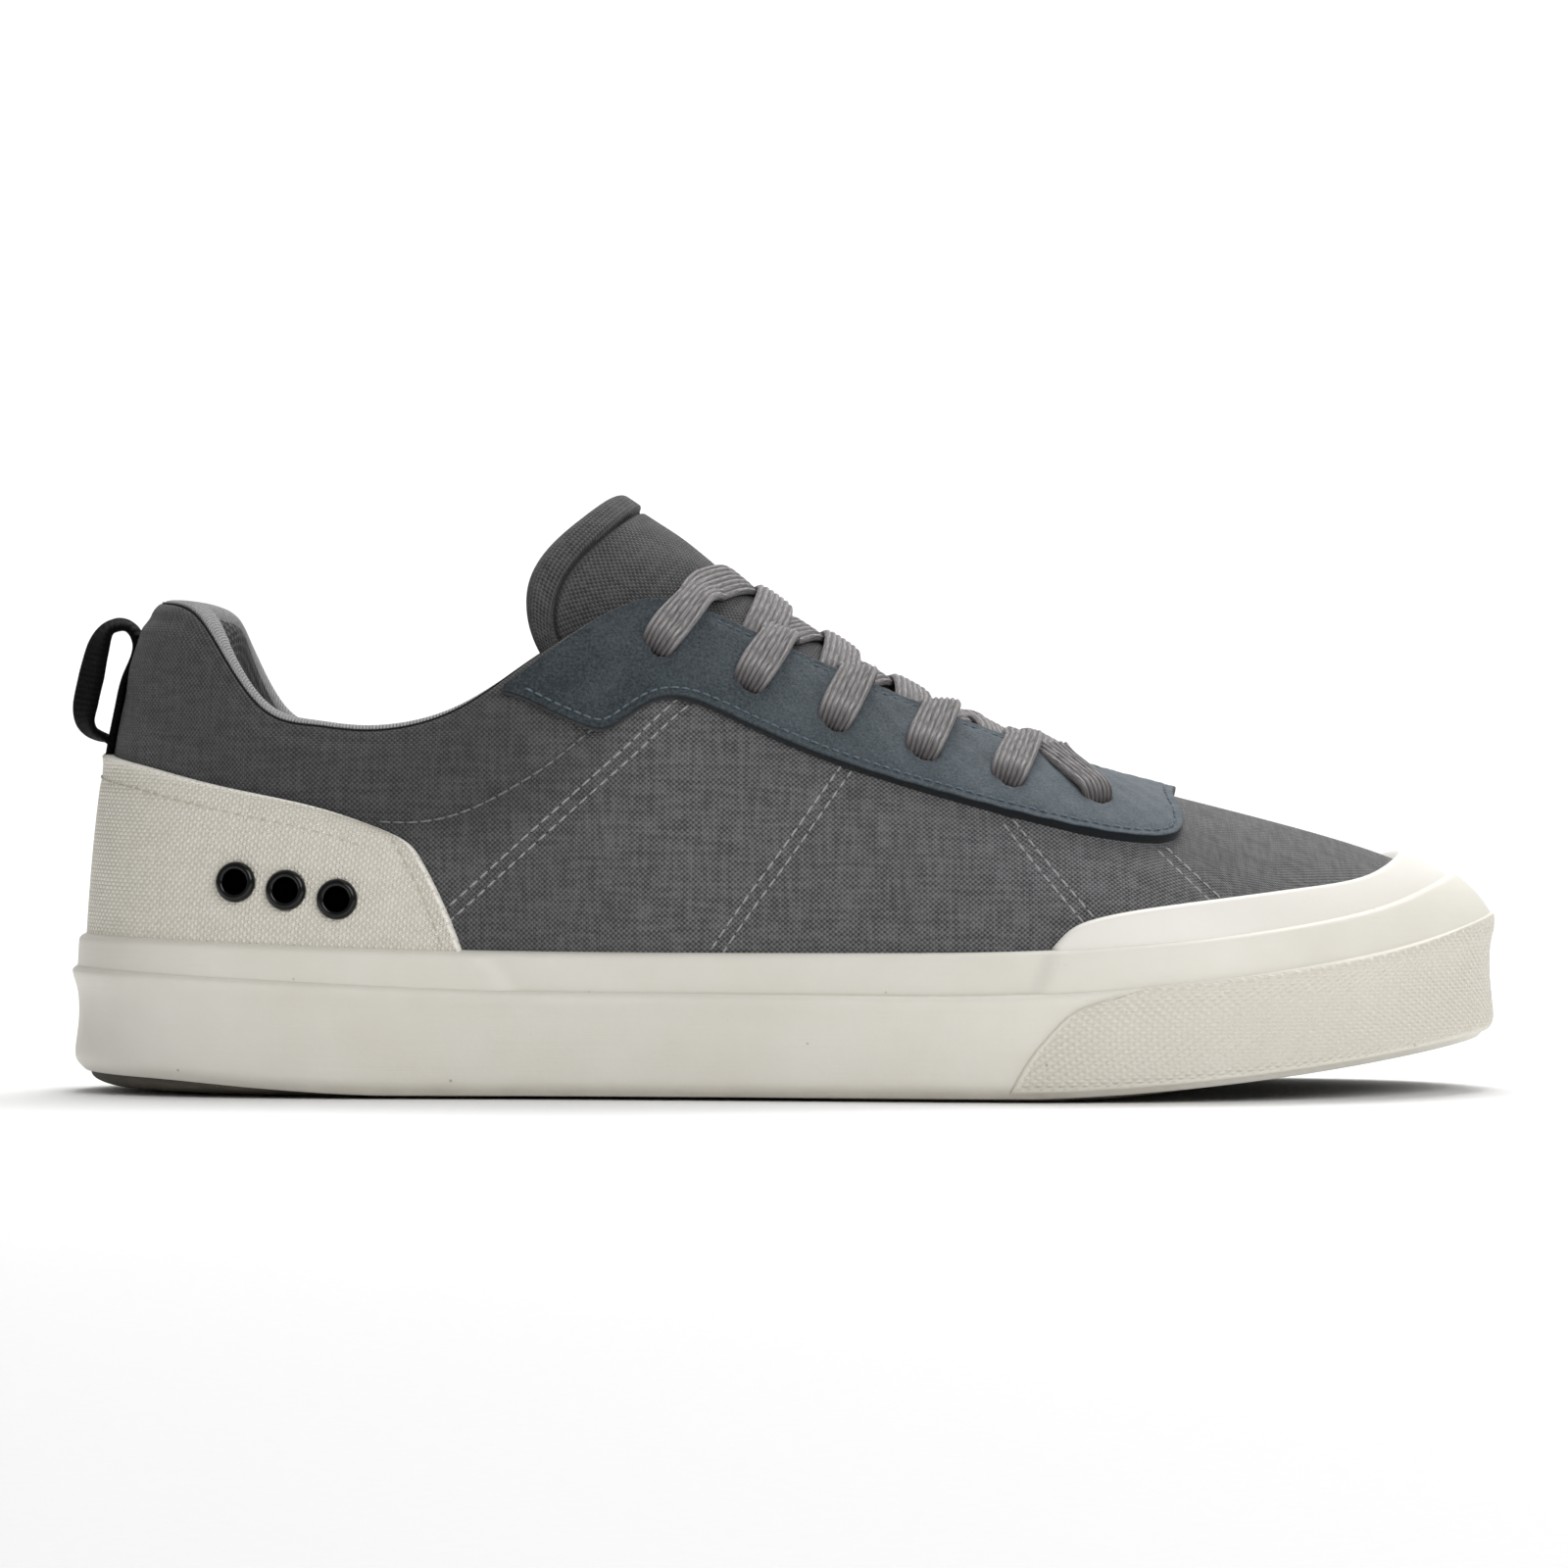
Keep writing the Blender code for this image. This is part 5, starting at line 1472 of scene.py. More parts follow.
@dataclass
class VentEyelets:
    """The black turned eyelets through the counter on the outer side."""

    last: Last
    sides: int = 48
    stand_off: float = 1.9
    profile: tuple[tuple[float, float], ...] = (
        (2.45, -2.6), (2.45, 0.5), (2.55, 0.95), (2.8, 1.25), (3.15, 1.4), (3.55, 1.3), (3.9, 1.0),
        (4.12, 0.6), (4.2, 0.2), (4.12, -0.1), (3.2, -0.1), (3.2, -2.6),
    )
    plug_depth: float = -2.2

    def build(self) -> list[Piece]:
        """Turns each eyelet and sets it in the counter."""
        made = []
        for number, (ring, climb) in enumerate(self.last.vents()):
            axis = self.last.out(ring, climb)
            side = unit(np.cross(UP, axis))
            rise = np.cross(axis, side)
            centre = self.last.skin(ring, climb, self.stand_off)
            turns = np.linspace(0, 2 * math.pi, self.sides, endpoint=False)
            way = np.cos(turns)[:, None] * side + np.sin(turns)[:, None] * rise
            radius, out = np.array(self.profile).T
            loops = centre + way[:, None] * radius[None, :, None] + axis * out[None, :, None]
            points = loops.reshape(-1, 3)
            faces = list(grid_faces(self.sides, len(self.profile), True))
            # A disc of painted shade deep in the bore.
            plug = centre + way * self.profile[0][0] + axis * self.plug_depth
            first = len(points)
            points = np.concatenate([points, plug])
            faces.append(tuple(range(first, first + self.sides)))
            slots = np.zeros(len(faces), int)
            slots[-1] = 1
            cloth = (points - centre) @ np.stack([side, rise, axis], axis=-1)
            piece = finish_mesh(f"vent_eyelet_ring_{number + 1}", points, faces, {"cloth": cloth},
                                [ENAMEL, PAINTED_VENT_SHADOW], slots)
            made.append(settle(piece, "enamel", f"vent_eyelet_{number + 1}"))
        return made


@dataclass
class Sole:
    """The outsole, its two rubber bands and the toe's bumper and cap."""

    last: Last
    rings: int = 480
    floor_gap: float = 0.8
    heel_raise: float = 2.6
    rim_raise: float = 1.6
    strip_thickness: float = 2.1
    strip_step: float = 0.9
    strip_radius: float = 1.9
    toe_fill: float = 2.4
    cap_thickness: float = 2.0
    cap_radius: float = 1.7
    bumper_thickness: float = 1.0
    bumper_radius: float = 0.8
    side: Spline = field(default_factory=lambda: Spline(
        (0.00, 0.07, 0.22, 0.45, 0.62, 0.80, 0.88, 0.93, 0.97, 1.00),
        (-2.3, -0.8, -0.2, -0.8, -0.9, -0.4, 0.15, 0.40, 0.25, -0.60)))
    cap_rise: Spline = field(default_factory=lambda: Spline(
        (0.650, 0.660, 0.680, 0.718, 0.775, 0.840, 0.900, 0.950, 1.000),
        (0.5, 3.2, 5.6, 6.8, 6.9, 6.1, 5.0, 4.9, 4.9)))
    bumper_start: Spline = field(default_factory=lambda: Spline(
        (0.00, 0.45, 0.70, 0.88, 1.00), (0.618, 0.634, 0.648, 0.668, 0.700)))
    groove_pitch: float = 11.0
    groove_half: float = 1.2
    groove_depth: float = 1.6
    groove_margin: float = 13.0
    heel_tread: tuple[float, float] = (-129.0, -75.0)
    front_tread: tuple[float, float] = (25.0, 113.0)
    tread_rows: int = 470
    tread_columns: int = 99
    toe_raise: float = 1.1
    heel_wedge: float = 1.9
    strip_rings: int = 780
    strip_sink: float = 3.4
    strip_slant: float = 0.030
    strip_under: float = -0.5
    cap_sink: float = 3.0
    band_back: float = 2.0
    bumper_under: float = -0.3
    insole_gap: float = 3.0
    insole_thickness: float = 4.0
    insole_cup: float = 2.4

    def band_point(self, ring: Array, share: Array, out: Any) -> Array:
        """Points off the band's side at a share of its height."""
        ring, share = np.broadcast_arrays(np.asarray(ring, float), np.asarray(share, float))
        bulge = self.side(share)
        toe = 1 - 0.85 * ease(self.last.share(ring), 0.86, 0.97)
        plan = self.last.outline_at(ring, np.minimum(bulge, 0.0) + np.maximum(bulge, 0.0) * toe + out)
        along = self.last.outline(ring)[..., 0]
        low = self.floor_gap + self.last.lift(along) + self.heel_raise * ease(-along, 80.0, 135.0)
        return raised(plan, low + share * (self.last.ridge_line(along) - low))

    def plan(self, end: float, rows: int, shares: Array, inset: float) -> Array:
        """Places across the sole in plan, row by row from the heel to the toe.

        Args:
            end: Share of the sole's length that is left at both ends.
            rows: Rows along the sole.
            shares: Ways across it, from the outer side (0) to the inner (1).
            inset: How far its sides lie inside the outline.

        Returns:
            Places by row and share.
        """
        half = np.linspace(end, 1 - end, rows)
        outer, inner = (self.last.outline_at(self.last.ring(half, side), -inset) for side in Side)
        return outer[:, None] + shares[None, :, None] * (inner - outer)[:, None]

    def build_band(self) -> Piece:
        """The wide lower band, with its lip, hollow side and rounded foot."""
        ring = np.linspace(0, 1, self.rings, endpoint=False)
        share = np.concatenate([np.linspace(0, 0.14, 9), np.linspace(0.18, 0.80, 16),
                                np.linspace(0.83, 1.0, 13)])
        face = self.band_point(ring[:, None], share[None, :], 0.0)
        face[..., 2] += 0.10 * np.sin(ring * 60)[:, None] * (share * (1 - share))[None, :]
        back = self.band_point(ring[:, None], np.array([[0.0, 1.0]]), 0.0)
        back[..., :2] = self.last.outline_at(ring, -self.last.band_thickness - self.band_back)[:, None]
        back[:, 1, 2] += 0.25
        made = tube("foxing_band_rubber", wrapped(face, back), {}, [RUBBER], True)
        return settle(made, "sole_rubber", "foxing_band")

    def build_strip(self) -> Piece:
        """The narrow strip above the band, with soft steps where other pieces pass under it."""
        last = self.last
        ring = np.linspace(0, 1, self.strip_rings, endpoint=False)[:, None]
        shares = np.concatenate([np.linspace(0, 0.72, 14), np.linspace(0.76, 1.0, 11)])[None, :]
        low = last.ridge(ring) - self.strip_sink
        climb = last.climb_at(ring, low + (last.strip_top(ring) - low) * shares)
        share = last.share(ring)
        slant = self.strip_slant * (1 - shares)
        under = np.maximum(1 - ease(share - slant, 0.296, 0.311), ease(share + 0.6 * slant, 0.643, 0.658))
        lift = last.overlay_gap + self.strip_thickness + self.strip_step * under
        points = last.face(ring, climb)
        edge = np.linalg.norm(points - points[:, -1:], axis=-1)
        lift *= 0.15 + 0.85 * round_edge(edge, self.strip_radius)
        lift += self.toe_fill * ease(share, 0.80, 0.96) * (1 - shares)
        loops = wrapped(last.skin(ring, climb, lift), last.skin(ring, climb, self.strip_under))
        made = tube("foxing_strip_rubber", loops, {}, [RUBBER], True)
        return settle(made, "sole_rubber", "foxing_strip")

    def build_cap(self) -> Piece:
        """The smooth cap on the toe, which runs down behind the strip."""
        last, overlay = self.last, Overlay(self.last)
        half = np.concatenate([np.linspace(0.6495, 0.70, 46), np.linspace(0.704, 1.0, 120)])
        ring = last.both(half)[:, None]
        shares = np.concatenate([np.linspace(0, 0.55, 12), np.linspace(0.59, 1.0, 18)])[None, :]
        top = last.strip_top(ring) + self.cap_rise(np.maximum(last.share(ring), 0.65))
        low = last.strip_top(ring) - self.cap_sink
        climb = last.climb_at(ring, low + (top - low) * shares)
        edge = overlay.edge_distance(last.face(ring, climb), low=False)
        lift = last.overlay_gap + self.cap_thickness * round_edge(edge, self.cap_radius)
        lift[:, -1] = overlay.under * 0.5
        made = overlay.sheet("toe_cap_rubber", ring, climb, lift, np.zeros_like(lift), CAP_RUBBER)
        return settle(made, "sole_rubber", "toe_cap")

    def build_bumper(self) -> Piece:
        """The diamond-textured strip laid on the band round the toe."""
        share = crowded(26, (0.0, 0.15, 0.4, 0.8), 26.0) * 0.95 + 0.05
        steps = crowded(300, (0.0, 0.15, 0.4, 0.8), 270.0) * 2 - 1
        step, height = np.broadcast_arrays(steps[:, None], share[None, :])
        reach = 1 - np.abs(step) * (1 - self.bumper_start(height))
        ring = np.where(step < 0, reach / 2, 1 - reach / 2)
        under = self.band_point(ring, height, self.bumper_under)
        face = self.band_point(ring, height, 0.0)
        edge = Overlay.edge_distance(face)
        over = self.band_point(ring, height, self.bumper_thickness * round_edge(edge, self.bumper_radius))
        run = travel(face)
        flat = on_cloth(run - run[len(steps) // 2], face[..., 2])
        rim = 1 - ease(edge, 0.7, 1.4)
        fields = {"cloth": wrapped(flat, flat), "rim": wrapped(rim, np.ones_like(rim))}
        made = tube("toe_bumper_rubber", wrapped(over, under), fields, [BUMPER_RUBBER])
        return settle(made, "sole_rubber", "toe_bumper")

    def tread(self, along: Array, across: Array, half_width: Array) -> Array:
        """How deep the tread is cut at places under the sole.

        Args:
            along: Places along the shoe.
            across: Places across it.
            half_width: Half the sole's width there.

        Returns:
            Depths, 0 on the flat of the lugs.
        """
        inside = ease(half_width - np.abs(across), self.groove_margin - 1, self.groove_margin)
        heel, front = ((along > low) & (along < high) for low, high in (self.heel_tread, self.front_tread))
        start = np.where(heel, self.heel_tread[0] + 5.0, self.front_tread[0] + 5.0)
        phase = np.mod(along - start + self.groove_pitch / 2, self.groove_pitch) - self.groove_pitch / 2
        main = 1 - ease(np.abs(phase), self.groove_half * 0.7, self.groove_half)
        zigzag = np.mod(along + 1.6 * np.abs(np.mod(across, 8.0) - 4.0), 5.5) - 2.75
        fine = 0.4 * (1 - ease(np.abs(zigzag), 0.3, 0.7))
        rim = ease(half_width - np.abs(across), 5.0, 6.0)
        cut = np.where(heel | front, self.groove_depth * main * inside, 0.0)
        return np.maximum(cut, fine * rim)

    def build_outsole(self) -> Piece:
        """The sole block with its arch, toe spring and tread."""
        last = self.last
        shares = np.linspace(0, 1, self.tread_columns)
        plan = self.plan(0.004, self.tread_rows, shares, last.band_thickness + last.gap)
        along = plan[..., 0]
        width = np.linalg.norm(plan[:, -1] - plan[:, 0], axis=-1)[:, None] / 2
        place = (shares[None, :] - 0.5) * 2 * width
        base = last.lift(along) + last.arch(along) + self.toe_raise * ease(along, 62.0, 108.0)
        rim = np.minimum(width - np.abs(place), np.minimum(along - along.min(), along.max() - along))
        back = ease(-along, 60.0, 115.0)
        curl = 1 - round_edge(rim / (5.0 + 11.0 * back), 1.0)
        base = base + (self.rim_raise + self.heel_wedge * back) * curl
        under = raised(plan, base + self.tread(along, place, width))
        over = raised(plan, last.sole_block + last.lift(along))[:, ::self.tread_columns // 2]
        points = np.concatenate([under.reshape(-1, 3), over.reshape(-1, 3)])
        rows, columns = plan.shape[:2]
        shift = rows * columns
        faces: list[Sequence[int]] = []
        for i in range(rows - 1):
            a, b = i * columns, (i + 1) * columns
            c, d = shift + 3 * i, shift + 3 * (i + 1)
            faces += [(a + j, b + j, b + j + 1, a + j + 1) for j in range(columns - 1)]
            faces += [(c, d, d + 1, c + 1), (c + 1, d + 1, d + 2, c + 2)]
            faces += [(a, b, d, c), (a + columns - 1, b + columns - 1, d + 2, c + 2)]
        for a, c in ((0, shift), (shift - columns, shift + 3 * (rows - 1))):
            faces.append((*range(a, a + columns), c + 2, c + 1, c))
        # The tread's dark rubber stands in for the shadow under the heel.
        made = finish_mesh("treaded_outsole", points, faces, {}, [PAINTED_SHADOW_TREAD])
        return settle(made, "sole_rubber", "outsole")

    def build_insole(self) -> Piece:
        """The knit-covered foam footbed, with its sides turned up."""
        last = self.last
        shares = np.linspace(0, 1, 36)
        plan = self.plan(0.006, 160, shares, last.band_thickness + last.overlay_gap + self.insole_gap)
        base = last.sole_block + last.gap + last.lift(plan[..., 0])
        cup = self.insole_cup * np.abs(2 * shares - 1)[None, :] ** 3
        soft = round_edge(np.minimum(shares, 1 - shares), 0.03)[None, :]
        top = base + self.insole_thickness * soft + cup + 0.2
        flat = raised(plan, np.zeros_like(base))
        loops = wrapped(raised(plan, top), raised(plan, base))
        made = tube("knit_insole", loops, {"cloth": wrapped(flat, flat)}, [FOOTBED])
        return settle(made, "footbed", "insole")


@dataclass
class Tongue:
    """The padded canvas tongue, with a bound hem round its free end."""

    last: Last
    runs: int = 130
    columns: int = 110
    hem: float = 6.3
    hem_puff: float = 0.9
    hem_trough: float = 0.9
    edge_thinning: float = 0.5
    edge_round: float = 2.2
    corner: float = 2.0
    corner_reach: float = 60.0
    middle_puff: float = 0.4
    under_round: float = 0.96
    end_runs: int = 44
    end: Spline = field(default_factory=lambda: Spline(
        (0.0, 0.27, 0.45, 0.61, 0.74, 0.83, 0.91, 1.0),
        (1.002, 1.011, 1.0195, 1.022, 1.008, 0.982, 0.945, 0.885)))
    shape: Spline = field(init=False)

    def __post_init__(self) -> None:
        """Makes the smooth sections."""
        self.shape = Spline(np.linspace(0, 1, len(TONGUE)), TONGUE)

    def point(self, run: Any, across: Any, inwards: Any) -> Array:
        """Points of the tongue.

        Args:
            run: Way from the front (0) to the free top (1).
            across: Way round the section, from -1 to 1.
            inwards: How deep the point lies, from the upper face (0) to the lower (1).

        Returns:
            The points.
        """
        run, across, inwards = np.broadcast_arrays(*(np.asarray(v, float) for v in (run, across, inwards)))
        stretch = 1 + (self.end(np.abs(across)) - 1) * run ** 4
        row = np.moveaxis(self.shape(run * stretch), -1, 0)
        along, height, tilt, half_width, depth, wrap, thickness = row
        turn = np.radians(wrap) * across
        inset = inwards * thickness * (1 - self.edge_thinning * across ** 4)
        tilt = np.radians(tilt)
        normal = np.stack([np.sin(tilt), np.zeros_like(tilt), np.cos(tilt)], axis=-1)
        fall = depth - (depth - inset) * np.cos(turn)
        side = self.last.throat_centre(along) + (half_width - inset) * np.sin(turn)
        return np.stack([along, side, height], axis=-1) - fall[..., None] * normal

    def normal(self, run: Array, across: Array) -> Array:
        """Direction out of the tongue's upper face."""
        along = self.point(run + TINY, across, 0) - self.point(run - TINY, across, 0)
        round_step = self.point(run, across + TINY, 0) - self.point(run, across - TINY, 0)
        return unit(np.cross(round_step, along))

    def run_at(self, along: float) -> float:
        """The run where the tongue's middle line reaches a place along the shoe."""
        trial = np.linspace(0, 1, 400)
        return float(np.interp(-along, -self.point(trial, 0, 0)[:, 0], trial))

    def edge(self, points: Array) -> Array:
        """Distance of grid points from the free end and the side edges, rounded at the corners."""
        top = np.minimum(travel(points[::-1])[::-1], self.corner_reach)
        side = travel(points, 1)
        side = np.minimum(np.minimum(side, side[:, -1:] - side), self.corner_reach)
        return -self.corner * np.log(np.exp(-top / self.corner) + np.exp(-side / self.corner))

    def build(self) -> Piece:
        """Makes the tongue."""
        runs = np.concatenate([np.linspace(0, 0.88, self.runs - self.end_runs),
                               np.linspace(0.882, 1, self.end_runs)])
        across = np.sin(np.linspace(-1, 1, self.columns) * math.pi / 2)
        grid = np.broadcast_arrays(runs[:, None], across[None, :])
        over = self.point(*grid, 0.0)
        edge = self.edge(over)
        out = self.normal(*grid)
        puff = self.hem_puff * (1 - ease(edge, self.hem - 0.5, self.hem + 0.1))
        puff -= self.hem_trough * bell(edge - self.hem, 0.5)
        puff += self.middle_puff * ease(edge, self.hem + 1, self.hem + 12)
        over = over + out * puff[..., None]
        round_off = 1 - round_edge(edge, self.edge_round)
        under = self.point(*grid, 1.0)
        middle = (over + under) / 2
        over = over + (middle - over) * round_off[..., None]
        under = under + (middle - under) * self.under_round * round_off[..., None]
        wide = travel(over, 1)
        wide = wide - wide[:, -1:] / 2
        centre = len(across) // 2
        along = np.broadcast_to(travel(over)[:, centre:centre + 1], wide.shape)
        turned = on_cloth(along + wide, wide - along) * math.sqrt(0.5)
        flat = np.where((edge < self.hem)[..., None], turned, on_cloth(along, wide))
        # Painted shade in the hem's stitched groove.
        seam_and_painted_shade = bell(edge - self.hem, 0.35)
        fields = {"cloth": wrapped(flat, flat), "seam_and_painted_shade": wrapped(seam_and_painted_shade, np.zeros_like(seam_and_painted_shade))}
        made = tube("padded_tongue", wrapped(over, under), fields, [TONGUE_CANVAS])
        return settle(made, "canvas", "tongue")


@dataclass
class Strap:
    """A flat strip swept along a path."""

    width: float
    thickness: float
    ribs: int = 0
    rib_height: float = 0.0
    steps: int = 90
    profile_half: int = 36

    def outline(self) -> Array:
        """The cross-section: across and out, once round."""
        across = np.sin(np.linspace(-1, 1, self.profile_half) * math.pi / 2)
        swell = np.sqrt(np.clip(1 - np.abs(across) ** 6, 0, 1))
        rib = self.rib_height * (np.abs(np.cos(across * math.pi * self.ribs / 2)) - 0.5) * swell
        top = np.stack([across * self.width / 2, swell * self.thickness / 2 + rib], axis=-1)
        low = np.stack([across * self.width / 2, -swell * self.thickness / 2 - rib], axis=-1)
        return np.concatenate([top, low[::-1]])

    def loops(self, path: Array, faces: Array, narrow: Array | None = None,
              crown: float = 0.0) -> tuple[Array, Array]:
        """Sweeps the strip.

        Args:
            path: Points that the middle of the strip passes.
            faces: The way its face looks at each of them.
            narrow: Share of the full width at each of them.
            crown: How far the middle of the strip bows out of its edges.

        Returns:
            Loops of points, and the flat place of each.
        """
        chord = travel(path)
        knots = chord / chord[-1]
        at = np.linspace(0, 1, self.steps)
        points = Spline(knots, path)(at)
        look = unit(np.stack([np.interp(at, knots, faces[:, k]) for k in range(3)], axis=-1))
        ways = unit(np.gradient(points, axis=0))
        sides = unit(np.cross(ways, look))
        look = np.cross(sides, ways)
        wide = np.ones(self.steps) if narrow is None else np.interp(at, knots, narrow)
        across, out = self.outline().T
        bow = crown * (1 - (2 * across / self.width) ** 2)
        deep = 1 + 0.6 * (1 - wide)
        loops = (points[:, None] + sides[:, None] * (across[None, :, None] * wide[:, None, None])
                 + look[:, None] * ((out[None, :] * deep[:, None] + bow[None, :])[..., None]))
        run = np.broadcast_to((at * chord[-1])[:, None], loops.shape[:2])
        flat = np.stack([run, np.broadcast_to(across, run.shape), np.broadcast_to(out, run.shape)], axis=-1)
        return loops, flat


@dataclass
class Lacing:
    """The flat lace: two strands at each crossing, through the holes of the eyestay."""

    last: Last
    eyestay: Eyestay
    tongue: Tongue
    strap: Strap = field(default_factory=lambda: Strap(8.0, 1.7, 7, 0.5, 104, 58))
    stand_off: float = 3.2
    under_shift: float = 0.092
    over_shift: float = 0.05
    under_lead: float = -3.2
    over_lead: float = 2.6
    front_lead: float = -4.0
    sink: tuple[float, ...] = (-3.2, -0.4, 0.0, 0.1, 0.1)
    front_edge: float = 0.79
    under: tuple[tuple[float, float], ...] = (
        (0.36, 1.7), (0.17, 1.3), (0.0, 1.1), (-0.22, 1.2), (-0.46, 1.5))
    over: tuple[tuple[float, float], ...] = ((0.18, 2.4), (0.0, 2.8), (-0.22, 2.7), (-0.46, 2.1))
    dive: tuple[tuple[float, float], ...] = ((-0.62, 0.7), (-0.74, 0.3))
    hole_widths: tuple[float, ...] = (0.72, 0.84, 0.95, 1.0, 1.0)
    crest_width: float = 1.1
    crown: float = 0.2
    edge_span: tuple[float, float] = (0.43, 0.86)
    # Strength of the painted shade at the ends of each strand.
    shade: float = 0.75
    shade_run: tuple[float, float] = (2.5, 8.0)

    def edge_point(self, ring: Array, rise: float) -> tuple[Array, Array]:
        """A point over the throat edge, and the way out there."""
        top = np.ones_like(np.asarray(ring, float))
        out = unit(self.last.out(ring, top) + 0.7 * self.last.up(ring, top))
        return self.last.face(ring, top) + out * rise, out

    def nearest_edge(self, side: Side, start: Array, end: Array) -> float:
        """The ring place where the shortest way between two points crosses the throat edge."""
        rings = self.last.ring(np.linspace(*self.edge_span, 400), side)
        edge, _ = self.edge_point(rings, self.stand_off)
        way = np.linalg.norm(edge - start, axis=-1) + np.linalg.norm(edge - end, axis=-1)
        return float(rings[np.argmin(way)])

    def hole(self, number: int, side: Side, toward: Array) -> tuple[list[Array], list[Array]]:
        """The path out of a lace hole, towards a point.

        Args:
            number: The hole, counted from the toe.
            side: The side of the shoe.
            toward: The point that the strand heads for.

        Returns:
            Points from inside the shoe outwards, and the way that the lace faces at each.
        """
        ring, climb = self.eyestay.eyelet(number, side)
        centre = self.last.face(ring, climb)
        out = self.last.out(ring, climb)
        way = toward - centre
        way = unit(way - out * np.dot(way, out))
        points = [centre - way * 1.9 - out * 2.0, centre - way * 2.1 + out * 1.0,
                  centre - way * 0.6 + out * (self.stand_off - 0.3),
                  centre + way * 3.2 + out * self.stand_off]
        faces = [unit(out * 0.4 - way), unit(out - 1.3 * way), unit(out - 0.3 * way), out]
        return points, faces

    def strand(self, number: int, side: Side, rests: Sequence[tuple[float, float]],
               lead: float, shift: float) -> tuple[Array, Array, Array]:
        """One strand of a crossing, from its hole over the crest to the far side.

        Args:
            number: The crossing, counted from the toe.
            side: The side that the strand starts on.
            rests: Places across the tongue, from the near side (1) to the far one (-1), and the
                distance that the strand lies off it at each.
            lead: How far its crest lies towards the toe from the crossing's middle.
            shift: How far along the tongue it runs on its way across.

        Returns:
            Path points, the way of the lace's face at each, and its share of the full width.
        """
        last, tongue = self.last, self.tongue
        sign = side.value
        far = Side.INNER if side is Side.OUTER else Side.OUTER
        middle = tongue.run_at(LACE_CRESTS[number] + (lead if number else self.front_lead))
        places, lifts = np.array(rests[:-1] if number == 0 else rests).T
        lifts = lifts - self.sink[number]
        across = sign * places
        runs = middle + places * shift
        normals = tongue.normal(runs, across)
        rest = tongue.point(runs, across, 0.0) + normals * lifts[:, None]
        ring, climb = self.eyestay.eyelet(number + 1, side)
        start = last.skin(ring, climb, self.stand_off)
        edge, edge_out = self.edge_point(self.nearest_edge(side, start, rest[0]), self.stand_off)
        points, faces = self.hole(number + 1, side, edge)
        points += [edge, *rest]
        faces += [edge_out, *normals]
        widths = [*self.hole_widths] + [self.crest_width] * len(rest)
        if number == 0:
            far_edge, far_out = self.edge_point(last.ring(self.front_edge, far), self.stand_off - 0.5)
            down, down_faces = self.hole(0, far, far_edge)
            points += [far_edge, *down[::-1]]
            faces += [far_out, *down_faces[::-1]]
            widths += self.hole_widths[::-1]
        else:
            deep, off = np.array(self.dive).T
            sunk = middle + deep * shift
            out = tongue.normal(sunk, sign * deep)
            points += list(tongue.point(sunk, sign * deep, 0.0) + out * off[:, None])
            faces += list(out)
            widths += [1.0] * len(deep)
        return np.array(points), np.array(faces), np.array(widths)

    def build(self) -> list[Piece]:
        """Makes each crossing as one piece of two strands."""
        made = []
        for number in range(len(LACE_CRESTS)):
            points, faces, flats, shades = [], [], [], []
            start = 0
            for side, rests, lead, shift in ((Side.OUTER, self.under, self.under_lead, self.under_shift),
                                             (Side.INNER, self.over, self.over_lead, self.over_shift)):
                strand = self.strand(number, side, rests, lead, shift)
                loops, flat = self.strap.loops(*strand, crown=self.crown)
                rows, columns = loops.shape[:2]
                # Painted shade at both ends of each strand, where it goes into a hole or dives under.
                near = 1 - ease(flat[..., 0], *self.shade_run)
                gone = 1 - ease(flat[-1:, :, 0] - flat[..., 0], *self.shade_run)
                shades.append(self.shade * np.maximum(near, gone).reshape(-1))
                faces += list(grid_faces(rows, columns, False) + start)
                faces += cap_faces(start, columns) + cap_faces(start + (rows - 1) * columns, columns)
                points.append(loops.reshape(-1, 3))
                flats.append(flat.reshape(-1, 3))
                start += rows * columns
            piece = finish_mesh(f"lace_crossing_{number + 1}", np.concatenate(points), faces,
                                {"cloth": np.concatenate(flats), "seam_and_painted_shade": np.concatenate(shades)}, [LACE])
            made.append(settle(piece, "lace", f"lace_cross_{number + 1}"))
        return made


@dataclass
class PullLoop:
    """The ribbed webbing loop on the heel."""

    last: Last
    strap: Strap = field(default_factory=lambda: Strap(10.0, 1.9, 0, 0.0, 160, 30))
    stand_off: float = 0.6
    inner_top: float = 93.0
    inner_foot: float = 67.0
    outer_foot: float = 71.8
    foot_sink: float = 0.4

    def build(self) -> Piece:
        """Makes the loop: outer leg, crown, and the leg that lies on the heel."""
        path = [np.array([row.along, 0.0, row.height]) for row in PULL_LOOP]
        twists = [row.twist for row in PULL_LOOP]
        foot_climb = float(self.last.climb_at(0.0, self.outer_foot))
        path.insert(0, self.last.skin(0.0, foot_climb, -self.foot_sink))
        twists.insert(0, 0.0)
        for height in np.linspace(self.inner_top, self.inner_foot, 5):
            climb = float(self.last.climb_at(0.0, height))
            path.append(self.last.skin(0.0, climb, self.stand_off))
            twists.append(0.0)
        points = np.array(path)
        ways = unit(np.gradient(points, axis=0))
        side = np.array([0.0, 1.0, 0.0])
        flat_faces = unit(np.cross(ways, side))
        turn = np.radians(twists)[:, None]
        faces = np.cos(turn) * flat_faces - np.sin(turn) * side
        loops, flat = self.strap.loops(points, faces)
        made = tube("webbing_pull_loop", loops, {"cloth": flat}, [WEBBING])
        return settle(made, "webbing", "pull_loop")


